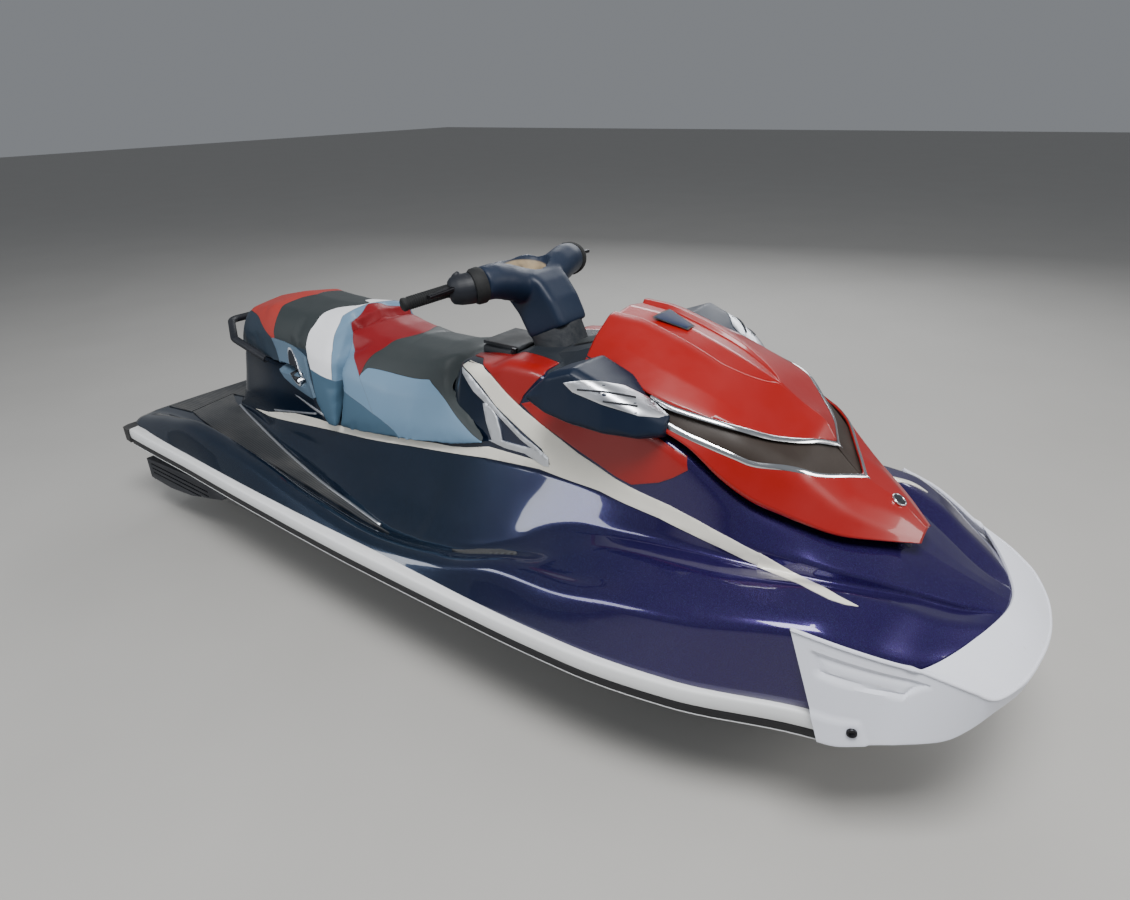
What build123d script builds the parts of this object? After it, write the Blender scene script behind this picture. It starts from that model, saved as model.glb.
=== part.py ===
"""Personal watercraft: a three-seat runabout with a V hull, moulded deck, opening front hood,
straddle seat, handlebar steering and a jet pump with a steering nozzle and a reverse gate.

Millimetres. +X is forward, +Y is port and +Z is up. The origin is on the floor, under the middle
of the craft. Places along the craft are given as distances ahead of the stern.
"""

from build123d import *
import math
import os
from collections import namedtuple

os.makedirs("parts", exist_ok=True)

SIDES = (("left", 1), ("right", -1))

# Driving dimensions
LENGTH = 3214            # stern bumper to bow bumper
PARTING_Z = 340          # flange where the deck meets the hull
MOVE_GAP = 6             # between pieces that move past each other
PIN_FIT = 0.05           # radial clearance of a pin in its bore
DECK_START_X = 10
TRANSOM_X = 60           # back of the hull, under the overhanging platform

# Hull and deck sections
KEEL_FLAT = 0.07         # half width of the flat keel, as a share of the chine's half breadth
STRAKE_IN = 0.50
STRAKE_OUT = 0.545
CHINE_IN = 0.93

Station = namedtuple(
    "Station",
    "x keel_z chine_y chine_z side_y shoulder_y shoulder_z rim_y rim_z "
    "well_out_y well_out_z well_in_y well_in_z",
)
BODY_LINES = [
    Station(10, 0, 450, 168, 520, 466, 388, 425, 392, 385, 396, 240, 398),
    Station(250, 0, 458, 170, 530, 478, 436, 432, 440, 390, 404, 245, 406),
    Station(500, 0, 463, 170, 538, 490, 470, 440, 474, 398, 398, 255, 400),
    Station(850, 0, 468, 172, 552, 503, 442, 453, 444, 412, 378, 270, 380),
    Station(1200, 0, 470, 175, 562, 518, 402, 474, 399, 438, 362, 290, 364),
    Station(1500, 0, 468, 180, 569, 530, 384, 486, 380, 458, 352, 310, 354),
    Station(1800, 0, 460, 186, 570, 527, 408, 478, 410, 446, 386, 320, 394),
    Station(2050, 0, 445, 192, 569, 518, 472, 468, 482, 425, 463, 320, 500),
    Station(2300, 10, 412, 203, 560, 508, 498, 452, 520, 395, 552, 300, 514),
    Station(2550, 40, 352, 220, 520, 490, 522, 442, 548, 366, 574, 280, 516),
    Station(2800, 110, 255, 245, 432, 428, 552, 388, 572, 290, 586, 200, 518),
    Station(2900, 155, 205, 262, 402, 394, 526, 350, 548, 250, 574, 170, 520),
    Station(3000, 205, 150, 280, 335, 324, 488, 288, 508, 200, 536, 120, 546),
    Station(3110, 290, 62, 316, 215, 206, 470, 170, 488, 110, 504, 65, 511),
]

# Seat pedestal and the raised middle of the bow deck
Core = namedtuple("Core", "x base_y base_z waist_y waist_z ledge_y ledge_z top_y top_z crown_z")
CORE_LINES = [
    Core(300, 178, 380, 172, 406, 165, 432, 120, 470, 476),
    Core(385, 194, 380, 184, 412, 176, 446, 144, 676, 688),
    Core(650, 262, 370, 236, 412, 214, 462, 194, 682, 694),
    Core(870, 318, 352, 258, 408, 225, 476, 200, 676, 688),
    Core(1010, 348, 342, 275, 408, 232, 492, 186, 622, 634),
    Core(1250, 400, 330, 300, 408, 240, 520, 168, 610, 625),
    Core(1550, 448, 330, 338, 416, 250, 562, 175, 690, 702),
    Core(1620, 455, 335, 346, 420, 254, 576, 180, 830, 842),
    Core(1644, 456, 338, 350, 424, 256, 580, 188, 856, 868),
    Core(1750, 456, 345, 364, 436, 262, 598, 205, 862, 872),
    Core(1850, 450, 360, 372, 452, 268, 610, 216, 900, 908),
    Core(1950, 444, 380, 376, 474, 274, 622, 228, 906, 914),
    Core(2105, 410, 440, 352, 530, 288, 636, 240, 872, 878),
    Core(2180, 385, 460, 342, 548, 292, 638, 254, 864, 870),
    Core(2300, 350, 490, 332, 562, 302, 640, 282, 850, 856),
    Core(2400, 332, 510, 322, 572, 303, 640, 286, 824, 830),
    Core(2500, 314, 510, 308, 576, 300, 634, 280, 764, 770),
    Core(2600, 296, 510, 292, 574, 288, 622, 256, 698, 704),
    Core(2700, 266, 510, 264, 566, 260, 610, 216, 656, 662),
    Core(2780, 242, 510, 240, 560, 232, 598, 175, 624, 630),
    Core(2860, 202, 510, 200, 550, 195, 580, 110, 604, 610),
    Core(2930, 160, 510, 160, 540, 155, 558, 60, 570, 574),
    Core(3060, 84, 492, 82, 506, 78, 517, 30, 526, 529),
]

# Opening hood
Hood = namedtuple("Hood", "x low_y low_z mid_y mid_z top_y top_z crown_z")
HOOD_LINES = [
    Hood(2105, 244, 892, 214, 952, 100, 1044, 1056),
    Hood(2180, 264, 884, 236, 944, 102, 1038, 1052),
    Hood(2260, 280, 876, 252, 930, 102, 1018, 1032),
    Hood(2340, 291, 862, 262, 914, 100, 992, 1006),
    Hood(2440, 292, 832, 254, 892, 92, 948, 966),
    Hood(2530, 283, 766, 240, 866, 84, 902, 920),
    Hood(2600, 264, 722, 214, 826, 76, 856, 876),
    Hood(2660, 238, 696, 186, 788, 64, 820, 842),
    Hood(2697, 222, 682, 172, 758, 60, 776, 792),
    Hood(2778, 178, 648, 142, 696, 84, 716, 722),
    Hood(2860, 116, 628, 92, 652, 48, 674, 682),
    Hood(2926, 46, 604, 36, 616, 20, 626, 631),
]
HOOD_WALL = 14
NOSE_WALL = 7
HINGE_X = 2896
HINGE_Z = 606

# Hood trim in side view: the lower edge of the upper hood, and the height of the grille under it
Trim = namedtuple("Trim", "x z grille")
TRIM_LINE = [
    Trim(2080, 966, 6),
    Trim(2331, 915, 6),
    Trim(2390, 892, 10),
    Trim(2532, 862, 30),
    Trim(2600, 822, 28),
    Trim(2698, 770, 24),
    Trim(2800, 732, 20),
]
TRIM_BAND = 10           # height of each bright strip

# Seat
Seat = namedtuple("Seat", "x low_y low_z side_y side_z top_y top_z crown_z")
REAR_SEAT = [
    Seat(330, 122, 694, 112, 736, 74, 752, 766),
    Seat(390, 174, 668, 168, 706, 122, 800, 822),
    Seat(480, 214, 674, 206, 718, 146, 838, 858),
    Seat(640, 238, 684, 222, 734, 158, 872, 894),
    Seat(850, 252, 690, 228, 740, 160, 864, 884),
    Seat(910, 255, 640, 227, 738, 158, 868, 887),
    Seat(1020, 261, 507, 226, 741, 154, 877, 896),
    Seat(1076, 262, 512, 224, 745, 150, 884, 905),
]
FRONT_SEAT = [
    Seat(1077, 262, 512, 222, 720, 146, 862, 884),
    Seat(1180, 266, 522, 218, 706, 140, 826, 843),
    Seat(1310, 270, 538, 214, 697, 136, 812, 831),
    Seat(1450, 274, 560, 214, 706, 136, 814, 831),
    Seat(1560, 277, 582, 218, 730, 142, 830, 847),
    Seat(1634, 280, 594, 222, 752, 150, 850, 866),
    Seat(1700, 279, 612, 236, 728, 150, 790, 800),
    Seat(1790, 274, 640, 266, 662, 150, 700, 710),
]

# Rub rail
RailBand = namedtuple("RailBand", "name low high out")
RAIL_BANDS = [
    RailBand("rail_white", 328, 371, 16),
    RailBand("rail_black", 314, 328, 14),
]
RAIL_DROP = 9            # how far the rails come down toward the middle of the craft
RAIL_DROP_X = (500, 1200)
RAIL_START_X = 60
RAIL_END_X = 2850

# Bow bumper
Bumper = namedtuple("Bumper", "x out_y low_z side_z in_y high_z")
BUMPER_LINES = [
    Bumper(2760, 452, 314, 546, 424, 568),
    Bumper(2870, 450, 316, 520, 412, 542),
    Bumper(2960, 414, 320, 500, 366, 513),
    Bumper(3012, 382, 324, 484, 330, 495),
    Bumper(3080, 334, 334, 464, 230, 508),
    Bumper(3121, 300, 366, 454, 180, 516),
    Bumper(3154, 271, 404, 443, 150, 492),
    Bumper(3190, 180, 414, 436, 90, 468),
    Bumper(3214, 56, 426, 446, 30, 455),
]
BUMPER_INNER = [(2700, 440), (2800, 430), (2900, 396), (3012, 326), (3085, 150), (3121, 0)]

# Jet drive
TUNNEL_HALF = 150
TUNNEL_ROOF_Z = 324
TUNNEL_END_X = 640
PUMP_Z = 112
PUMP_R = 92
PUMP_BORE_R = 80
PUMP_WALL_X = 628
VENTURI_R = 46
VENTURI_BORE_R = 38
VENTURI_END_X = 262
NOZZLE_X = 280           # steering pivot
NOZZLE_RING_R = 74
NOZZLE_RING_BORE = 66
NOZZLE_EXIT_R = 46
NOZZLE_EXIT_X = 170
NOZZLE_PIN_R = 6
GATE_X = 345             # reverse gate pivot
GATE_Z = 150
GATE_ARC_R = 201
GATE_SHEET = 6
GATE_ARM_Y = 90
GATE_PIN_R = 7
GATE_LOW_DEG = 12
GATE_HIGH_DEG = 54
SHAFT_R = 15
IMPELLER_R = 73
IMPELLER_HUB_R = 28
IMPELLER_BLADES = 4
INTAKE_HALF = 76

# Steering
STEER_X = 1860
STEER_Z = 930
STEER_LEAN_DEG = 25
STEM_R = 20
BASE_R = 78
BASE_TOP_H = 16
GRIP_R = 18
BAR_R = 12


def ahead(x):
    """Model X of a point x ahead of the stern."""
    return x - LENGTH / 2


STEER_PLANE = Plane(
    origin=(ahead(STEER_X), 0, STEER_Z),
    x_dir=(math.cos(math.radians(STEER_LEAN_DEG)), 0, math.sin(math.radians(STEER_LEAN_DEG))),
    z_dir=(-math.sin(math.radians(STEER_LEAN_DEG)), 0, math.cos(math.radians(STEER_LEAN_DEG))),
)


def rail_drop(x):
    """How far the rails sit below their height at the stern."""
    start, end = RAIL_DROP_X
    return RAIL_DROP * min(1, max(0, (x - start) / (end - start)))


def body_section(s, grow=0.0):
    """Half section of the hull and deck mouldings."""
    strake_z = s.keel_z + (s.chine_z - s.keel_z) * STRAKE_IN
    return [
        (0, s.keel_z),
        (s.chine_y * KEEL_FLAT, s.keel_z),
        (s.chine_y * STRAKE_IN, strake_z),
        (s.chine_y * STRAKE_OUT, strake_z),
        (s.chine_y * CHINE_IN, s.chine_z),
        (s.chine_y, s.chine_z),
        (s.side_y, PARTING_Z),
        (s.shoulder_y + grow, s.shoulder_z + grow),
        (s.rim_y, s.rim_z + grow),
        (s.well_out_y, s.well_out_z + grow),
        (s.well_in_y, s.well_in_z + grow),
        (0, s.well_in_z + grow),
    ]


def core_section(c, grow=0.0):
    """Half section of the seat pedestal and the raised middle of the bow deck."""
    return [
        (0, c.base_z),
        (c.base_y + grow, c.base_z),
        (c.waist_y + grow, c.waist_z + grow / 2),
        (c.ledge_y + grow, c.ledge_z),
        (c.top_y + grow, c.top_z + grow),
        (0, c.crown_z + grow),
    ]


def gunwale_section(s, amount=0.0):
    """Half section of a side deck, outboard of the foot well."""
    return [
        (s.well_out_y, PARTING_Z),
        (s.side_y, PARTING_Z),
        (s.shoulder_y, s.shoulder_z),
        (s.rim_y, s.rim_z),
        (s.well_out_y, s.well_out_z),
    ]


def lid_section(h, shrink=0.0):
    """Half section of the hood or of a seat cushion, closed along its low line."""
    return [
        (0, h.low_z - shrink),
        (h.low_y - shrink, h.low_z - shrink),
        (h[3] - shrink, h[4] - shrink / 3),
        (h.top_y - shrink / 2, h.top_z - shrink),
        (0, h.crown_z - shrink),
    ]


def full_loft(lines, section, amount=0.0):
    """Both halves of a form drawn by half sections at stations along the craft."""
    with BuildPart() as form:
        for line in lines:
            with BuildSketch(Plane.YZ.offset(ahead(line.x))):
                with BuildLine():
                    Polyline(*section(line, amount), close=True)
                make_face()
        loft(ruled=True)
        mirror(about=Plane.XZ)
    return form.part


BODY = full_loft(BODY_LINES, body_section)
GUNWALE_LINES = [s for s in BODY_LINES if s.x <= 2050]
GUNWALES = full_loft(GUNWALE_LINES, gunwale_section)
CORE = full_loft(CORE_LINES, core_section)
MAT_SKIN = 5
BODY_SKIN = full_loft(BODY_LINES, body_section, MAT_SKIN)
PANEL_SKIN = 4
CORE_SKIN = full_loft(CORE_LINES, core_section, PANEL_SKIN)
HOOD = full_loft(HOOD_LINES, lid_section)
HOOD_INSIDE = full_loft(HOOD_LINES, lid_section, HOOD_WALL)
CORE_CLEAR = full_loft(CORE_LINES, core_section, MOVE_GAP + 2)
REAR_FORM = full_loft(REAR_SEAT, lid_section)
FRONT_FORM = full_loft(FRONT_SEAT, lid_section)

# Hull
with BuildPart() as hull:
    add(BODY)
    split(bisect_by=Plane.XY.offset(PARTING_Z), keep=Keep.BOTTOM)
    split(bisect_by=Plane.YZ.offset(ahead(TRANSOM_X)), keep=Keep.TOP)
    # Jet tunnel
    with BuildSketch(Plane.XY):
        with Locations((ahead((TRANSOM_X - 20 + TUNNEL_END_X) / 2), 0)):
            Rectangle(TUNNEL_END_X - TRANSOM_X + 20, 2 * TUNNEL_HALF)
    extrude(amount=TUNNEL_ROOF_Z, mode=Mode.SUBTRACT)
    # Intake duct
    with BuildSketch(Plane.XZ):
        with BuildLine():
            Polyline(
                (ahead(TUNNEL_END_X), PUMP_Z + PUMP_BORE_R),
                (ahead(TUNNEL_END_X), PUMP_Z - PUMP_BORE_R),
                (ahead(TUNNEL_END_X + 40), PUMP_Z - PUMP_BORE_R),
                (ahead(TUNNEL_END_X + 80), -1),
                (ahead(TUNNEL_END_X + 400), -1),
                (ahead(TUNNEL_END_X + 300), 90),
                (ahead(TUNNEL_END_X + 140), PUMP_Z + PUMP_BORE_R),
                close=True,
            )
        make_face()
    extrude(amount=INTAKE_HALF, both=True, mode=Mode.SUBTRACT)
    # Drive shaft bore
    with BuildSketch(Plane.YZ.offset(ahead(TUNNEL_END_X + 100))):
        with Locations((0, PUMP_Z)):
            Circle(SHAFT_R + PIN_FIT)
    extrude(amount=340, mode=Mode.SUBTRACT)
hull.part.label = "hull"
export_step(hull.part, "parts/hull.step")

# Deck: the floor, the platform and the bow
TUB_X = (2330, 2680)
TUB_HALF = 165
GLOVE_X = (1648, 1742)
GLOVE_HALF = 78
GLOVE_FLOOR_Z = 760
GLOVE_HINGE_RELIEF_Z = 866
PEDESTAL_END_X = 2040
with BuildPart() as deck:
    add(BODY)
    split(bisect_by=Plane.XY.offset(PARTING_Z), keep=Keep.TOP)
    add(GUNWALES, mode=Mode.SUBTRACT)
deck.part.label = "deck"
export_step(deck.part, "parts/deck.step")

# Side decks
with BuildPart() as side_decks:
    add(GUNWALES)
side_decks.part.label = "side_decks"
export_step(side_decks.part, "parts/side_decks.step")

# Seat pedestal
with BuildPart() as pedestal:
    add(CORE)
    split(bisect_by=Plane.YZ.offset(ahead(PEDESTAL_END_X)), keep=Keep.BOTTOM)
    add(BODY, mode=Mode.SUBTRACT)
    # Glove box
    with BuildSketch(Plane.XY.offset(GLOVE_FLOOR_Z)):
        with Locations((ahead(sum(GLOVE_X) / 2), 0)):
            RectangleRounded(GLOVE_X[1] - GLOVE_X[0], 2 * GLOVE_HALF, 15)
    extrude(amount=200, mode=Mode.SUBTRACT)
    # Relief under the glove box hinge
    with BuildSketch(Plane.XY.offset(GLOVE_HINGE_RELIEF_Z)):
        with Locations((ahead(1762), 0)):
            Rectangle(44, 170)
    extrude(amount=60, mode=Mode.SUBTRACT)
    # Seat for the steering base
    with BuildSketch(STEER_PLANE.offset(BASE_TOP_H - 60)):
        Circle(BASE_R)
    extrude(amount=200, mode=Mode.SUBTRACT)
pedestal.part.label = "pedestal"
export_step(pedestal.part, "parts/pedestal.step")

# Raised bow deck under the hood: a block at each end of the storage tub
with BuildPart() as bow_deck:
    add(CORE)
    split(bisect_by=Plane.YZ.offset(ahead(PEDESTAL_END_X)), keep=Keep.TOP)
    add(BODY, mode=Mode.SUBTRACT)
    with BuildSketch(Plane.XY.offset(PARTING_Z)):
        with Locations((ahead(sum(TUB_X) / 2), 0)):
            Rectangle(TUB_X[1] - TUB_X[0], 1000)
    extrude(amount=600, mode=Mode.SUBTRACT)
    # Relief under the hood hinge
    with BuildSketch(Plane.XY.offset(HINGE_Z - 26)):
        with Locations((ahead(HINGE_X), 0)):
            Rectangle(60, 90)
    extrude(amount=60, mode=Mode.SUBTRACT)
bow_deck.part.label = "bow_deck"
export_step(bow_deck.part, "parts/bow_deck.step")

# Side walls of the storage tub
with BuildPart() as tub_walls:
    add(CORE)
    split(bisect_by=Plane.YZ.offset(ahead(TUB_X[0])), keep=Keep.TOP)
    split(bisect_by=Plane.YZ.offset(ahead(TUB_X[1])), keep=Keep.BOTTOM)
    add(BODY, mode=Mode.SUBTRACT)
    with BuildSketch(Plane.XY.offset(PARTING_Z)):
        with Locations((ahead(sum(TUB_X) / 2), 0)):
            Rectangle(TUB_X[1] - TUB_X[0] + 20, 2 * TUB_HALF)
    extrude(amount=600, mode=Mode.SUBTRACT)
tub_walls.part.label = "tub_walls"
export_step(tub_walls.part, "parts/tub_walls.step")
DECK = deck.part + side_decks.part + pedestal.part + bow_deck.part + tub_walls.part

# Bow bumper
with BuildPart() as bow_bumper:
    for b in BUMPER_LINES:
        with BuildSketch(Plane.YZ.offset(ahead(b.x))):
            with BuildLine():
                Polyline(
                    (0, b.low_z), (b.out_y - 14, b.low_z), (b.out_y, b.low_z + 16),
                    (b.out_y - 4, b.side_z), (b.in_y, b.high_z), (0, b.high_z - 2), close=True,
                )
            make_face()
    loft(ruled=True)
    mirror(about=Plane.XZ)
    # Slanted back edge of each side plate
    with BuildSketch(Plane.XZ):
        with BuildLine():
            Polyline(
                (ahead(2700), 250), (ahead(2700), 600), (ahead(2768), 600), (ahead(2800), 440),
                (ahead(2872), 250), close=True,
            )
        make_face()
    extrude(amount=600, both=True, mode=Mode.SUBTRACT)
    # Open middle, where the deck shows
    with BuildSketch(Plane.XY.offset(300)):
        with BuildLine():
            Polyline(
                *[(ahead(x), y) for x, y in BUMPER_INNER],
                *[(ahead(x), -y) for x, y in BUMPER_INNER[-2::-1]], close=True,
            )
        make_face()
    extrude(amount=400, mode=Mode.SUBTRACT)
    add(BODY, mode=Mode.SUBTRACT)
    add(CORE, mode=Mode.SUBTRACT)
bow_bumper.part.label = "bow_bumper"
export_step(bow_bumper.part, "parts/bow_bumper.step")
BUMPER_FORM = bow_bumper.part

# Rub rails, in two bands along each side
for rail in RAIL_BANDS:
    with BuildPart() as band:
        for s in BODY_LINES:
            if s.x > RAIL_END_X + 60:
                continue
            with BuildSketch(Plane.YZ.offset(ahead(s.x))):
                with Locations((s.side_y + rail.out - 40, (rail.low + rail.high) / 2 - rail_drop(s.x))):
                    Rectangle(80, rail.high - rail.low)
        loft(ruled=True)
        split(bisect_by=Plane.YZ.offset(ahead(RAIL_START_X)), keep=Keep.TOP)
        split(bisect_by=Plane.YZ.offset(ahead(RAIL_END_X)), keep=Keep.BOTTOM)
        mirror(about=Plane.XZ)
        add(BODY, mode=Mode.SUBTRACT)
        add(BUMPER_FORM, mode=Mode.SUBTRACT)
    band.part.label = rail.name
    export_step(band.part, f"parts/{rail.name}.step")

# Stern bumper across the back edge, with a cap on each corner
with BuildPart() as stern_bumper:
    with BuildSketch(Plane.XY.offset(RAIL_BANDS[1].low)):
        with BuildLine():
            Polyline(
                (ahead(0), -512), (ahead(12), -538), (ahead(RAIL_START_X), -543),
                (ahead(RAIL_START_X), 543), (ahead(12), 538), (ahead(0), 512), close=True,
            )
        make_face()
        with Locations((ahead(DECK_START_X + 60), 0)):
            Rectangle(100, 2 * 480, mode=Mode.SUBTRACT)
    extrude(amount=RAIL_BANDS[0].high - RAIL_BANDS[1].low)
    add(BODY, mode=Mode.SUBTRACT)
stern_bumper.part.label = "stern_bumper"
export_step(stern_bumper.part, "parts/stern_bumper.step")

# Sponsons
with BuildPart() as sponsons:
    with BuildSketch(Plane.XZ.offset(-430)):
        with BuildLine():
            Polyline(
                (ahead(84), 150), (ahead(84), 238), (ahead(600), 262), (ahead(700), 258),
                (ahead(640), 214), (ahead(400), 160), (ahead(240), 144), close=True,
            )
        make_face()
    extrude(amount=-82)
    with BuildSketch(Plane.XZ.offset(-512)):
        with Locations((ahead(330), 200)):
            with GridLocations(0, 20, 1, 3):
                Rectangle(430, 7)
    extrude(amount=6, mode=Mode.SUBTRACT)
    mirror(about=Plane.XZ)
    add(BODY, mode=Mode.SUBTRACT)
sponsons.part.label = "sponsons"
export_step(sponsons.part, "parts/sponsons.step")

# Ride plate closing the tunnel
RIDE_X = (190, 620)
RIDE_SHEET = 9
with BuildPart() as ride_plate:
    with BuildSketch(Plane.XY):
        with Locations((ahead(sum(RIDE_X) / 2), 0)):
            Rectangle(RIDE_X[1] - RIDE_X[0], 2 * TUNNEL_HALF)
    extrude(amount=76)
    with BuildSketch(Plane.XY.offset(RIDE_SHEET)):
        with Locations((ahead(sum(RIDE_X) / 2), 0)):
            Rectangle(RIDE_X[1] - RIDE_X[0], 2 * (TUNNEL_HALF - RIDE_SHEET))
    extrude(amount=100, mode=Mode.SUBTRACT)
ride_plate.part.label = "ride_plate"
export_step(ride_plate.part, "parts/ride_plate.step")

# Intake grate
with BuildPart() as intake_grate:
    with BuildSketch(Plane.XY.offset(22)):
        with Locations((ahead(TUNNEL_END_X + 232), 0)):
            Rectangle(252, 2 * INTAKE_HALF)
            with GridLocations(0, 30, 1, 4):
                Rectangle(216, 20, mode=Mode.SUBTRACT)
    extrude(amount=10)
intake_grate.part.label = "intake_grate"
export_step(intake_grate.part, "parts/intake_grate.step")

# Pump housing with the venturi, the stator hub and the pivots of the nozzle and the gate
STATOR_X = (372, 440)
VANE_X = 414
with BuildPart() as pump_housing:
    with BuildSketch(Plane.XZ):
        with BuildLine():
            Polyline(
                (ahead(PUMP_WALL_X), PUMP_Z), (ahead(PUMP_WALL_X), PUMP_Z + PUMP_R),
                (ahead(430), PUMP_Z + PUMP_R), (ahead(330), PUMP_Z + VENTURI_R + 6),
                (ahead(VENTURI_END_X), PUMP_Z + VENTURI_R), (ahead(VENTURI_END_X), PUMP_Z), close=True,
            )
        make_face()
    revolve(axis=Axis((ahead(0), 0, PUMP_Z), (1, 0, 0)), revolution_arc=360)
    # Mounting flange
    with BuildSketch(Plane.YZ.offset(ahead(PUMP_WALL_X))):
        with Locations((0, 150)):
            Rectangle(2 * TUNNEL_HALF - 20, 260)
        with Locations((-115, 40), (115, 40), (-115, 250), (115, 250)):
            Circle(5.5, mode=Mode.SUBTRACT)
    extrude(amount=TUNNEL_END_X - PUMP_WALL_X)
    for reach in (1, -1):
        # Steering pivot boss and pin
        with BuildSketch(Plane.XY.offset(PUMP_Z)):
            with Locations((ahead(NOZZLE_X), 0)):
                Circle(13)
        extrude(amount=reach * (NOZZLE_RING_BORE - MOVE_GAP))
        with BuildSketch(Plane.XY.offset(PUMP_Z)):
            with Locations((ahead(NOZZLE_X), 0)):
                Circle(NOZZLE_PIN_R)
        extrude(amount=reach * (NOZZLE_RING_R + 4))
        # Gate pivot arm and pin
        with BuildSketch(Plane.XZ):
            with Locations((ahead(GATE_X), GATE_Z)):
                Circle(14)
        extrude(amount=reach * (GATE_ARM_Y - MOVE_GAP))
        with BuildSketch(Plane.XZ):
            with Locations((ahead(GATE_X), GATE_Z)):
                Circle(GATE_PIN_R)
        extrude(amount=reach * (GATE_ARM_Y + GATE_SHEET + 4))
    # Water way
    with BuildSketch(Plane.XZ):
        with BuildLine():
            Polyline(
                (ahead(TUNNEL_END_X + 1), PUMP_Z), (ahead(TUNNEL_END_X + 1), PUMP_Z + PUMP_BORE_R),
                (ahead(430), PUMP_Z + PUMP_BORE_R), (ahead(330), PUMP_Z + VENTURI_R - 4),
                (ahead(VENTURI_END_X - 1), PUMP_Z + VENTURI_BORE_R), (ahead(VENTURI_END_X - 1), PUMP_Z),
                close=True,
            )
        make_face()
    revolve(axis=Axis((ahead(0), 0, PUMP_Z), (1, 0, 0)), revolution_arc=360, mode=Mode.SUBTRACT)
    # Stator hub and vanes
    with BuildSketch(Plane.YZ.offset(ahead(VANE_X))):
        with Locations((0, PUMP_Z)):
            with PolarLocations(52, 5):
                Rectangle(60, 6)
    extrude(amount=STATOR_X[1] - VANE_X)
    with BuildSketch(Plane.YZ.offset(ahead(STATOR_X[0]))):
        with Locations((0, PUMP_Z)):
            Circle(IMPELLER_HUB_R)
    extrude(amount=STATOR_X[1] - STATOR_X[0])
    with BuildSketch(Plane.YZ.offset(ahead(STATOR_X[0] - 1))):
        with Locations((0, PUMP_Z)):
            Circle(SHAFT_R + PIN_FIT)
    extrude(amount=STATOR_X[1] - STATOR_X[0] + 2, mode=Mode.SUBTRACT)
pump_housing.part.label = "pump_housing"
export_step(pump_housing.part, "parts/pump_housing.step")

# Impeller on its shaft
with BuildPart() as impeller:
    with BuildSketch(Plane.YZ.offset(ahead(STATOR_X[0]))):
        with Locations((0, PUMP_Z)):
            Circle(SHAFT_R)
    extrude(amount=TUNNEL_END_X + 300 - STATOR_X[0])
    with BuildSketch(Plane.YZ.offset(ahead(STATOR_X[1] + MOVE_GAP))) as hub_back:
        with Locations((0, PUMP_Z)):
            Circle(IMPELLER_HUB_R)
    with BuildSketch(Plane.YZ.offset(ahead(590))):
        with Locations((0, PUMP_Z)):
            Circle(SHAFT_R + 2)
    loft()
    for k in range(IMPELLER_BLADES):
        turn = k * 360 / IMPELLER_BLADES
        for x, twist in ((460, 0), (500, 35), (540, 70)):
            a = math.radians(turn + twist)
            with BuildSketch(Plane.YZ.offset(ahead(x))):
                with Locations((16 * math.cos(a), PUMP_Z + 16 * math.sin(a))):
                    with Locations(Location((0, 0, 0), turn + twist)):
                        Rectangle(IMPELLER_R - 16, 6, align=(Align.MIN, Align.CENTER))
        loft(ruled=True)
impeller.part.label = "impeller"
export_step(impeller.part, "parts/impeller.step")

# Steering nozzle
with BuildPart() as steering_nozzle:
    with BuildSketch(Plane.XZ):
        with BuildLine():
            Polyline(
                (ahead(NOZZLE_X + 10), PUMP_Z + NOZZLE_RING_BORE),
                (ahead(NOZZLE_X + 10), PUMP_Z + NOZZLE_RING_R),
                (ahead(NOZZLE_X - 36), PUMP_Z + NOZZLE_RING_R),
                (ahead(NOZZLE_EXIT_X), PUMP_Z + NOZZLE_EXIT_R),
                (ahead(NOZZLE_EXIT_X), PUMP_Z + NOZZLE_EXIT_R - 7),
                (ahead(NOZZLE_X - 40), PUMP_Z + NOZZLE_RING_BORE), close=True,
            )
        make_face()
    revolve(axis=Axis((ahead(0), 0, PUMP_Z), (1, 0, 0)), revolution_arc=360)
    with BuildSketch(Plane.XY.offset(PUMP_Z - 100)):
        with Locations((ahead(NOZZLE_X), 0)):
            Circle(NOZZLE_PIN_R + PIN_FIT)
    extrude(amount=200, mode=Mode.SUBTRACT)
steering_nozzle.part.label = "steering_nozzle"
export_step(steering_nozzle.part, "parts/steering_nozzle.step")

# Reverse gate: a curved bucket on two side arms
def gate_point(radius, degrees):
    a = math.radians(degrees)
    return (ahead(GATE_X) - radius * math.cos(a), GATE_Z + radius * math.sin(a))


with BuildPart() as reverse_gate:
    mid = (GATE_LOW_DEG + GATE_HIGH_DEG) / 2
    outer = GATE_ARC_R + GATE_SHEET
    with BuildSketch(Plane.XZ):
        with BuildLine():
            ThreePointArc(
                gate_point(outer, GATE_LOW_DEG), gate_point(outer, mid), gate_point(outer, GATE_HIGH_DEG),
            )
            Line(gate_point(outer, GATE_HIGH_DEG), gate_point(GATE_ARC_R, GATE_HIGH_DEG))
            ThreePointArc(
                gate_point(GATE_ARC_R, GATE_HIGH_DEG), gate_point(GATE_ARC_R, mid),
                gate_point(GATE_ARC_R, GATE_LOW_DEG),
            )
            Line(gate_point(GATE_ARC_R, GATE_LOW_DEG), gate_point(outer, GATE_LOW_DEG))
        make_face()
    extrude(amount=GATE_ARM_Y + GATE_SHEET, both=True)
    for reach in (1, -1):
        with BuildSketch(Plane.XZ.offset(-reach * GATE_ARM_Y)):
            with BuildLine():
                Polyline(
                    (ahead(GATE_X) + 16, GATE_Z - 14), (ahead(GATE_X) + 16, GATE_Z + 16),
                    gate_point(outer - 1, GATE_HIGH_DEG - 4), gate_point(outer - 1, mid),
                    gate_point(outer - 1, GATE_LOW_DEG + 1), close=True,
                )
            make_face()
            with Locations((ahead(GATE_X), GATE_Z)):
                Circle(GATE_PIN_R + PIN_FIT, mode=Mode.SUBTRACT)
        extrude(amount=-reach * GATE_SHEET)
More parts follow.
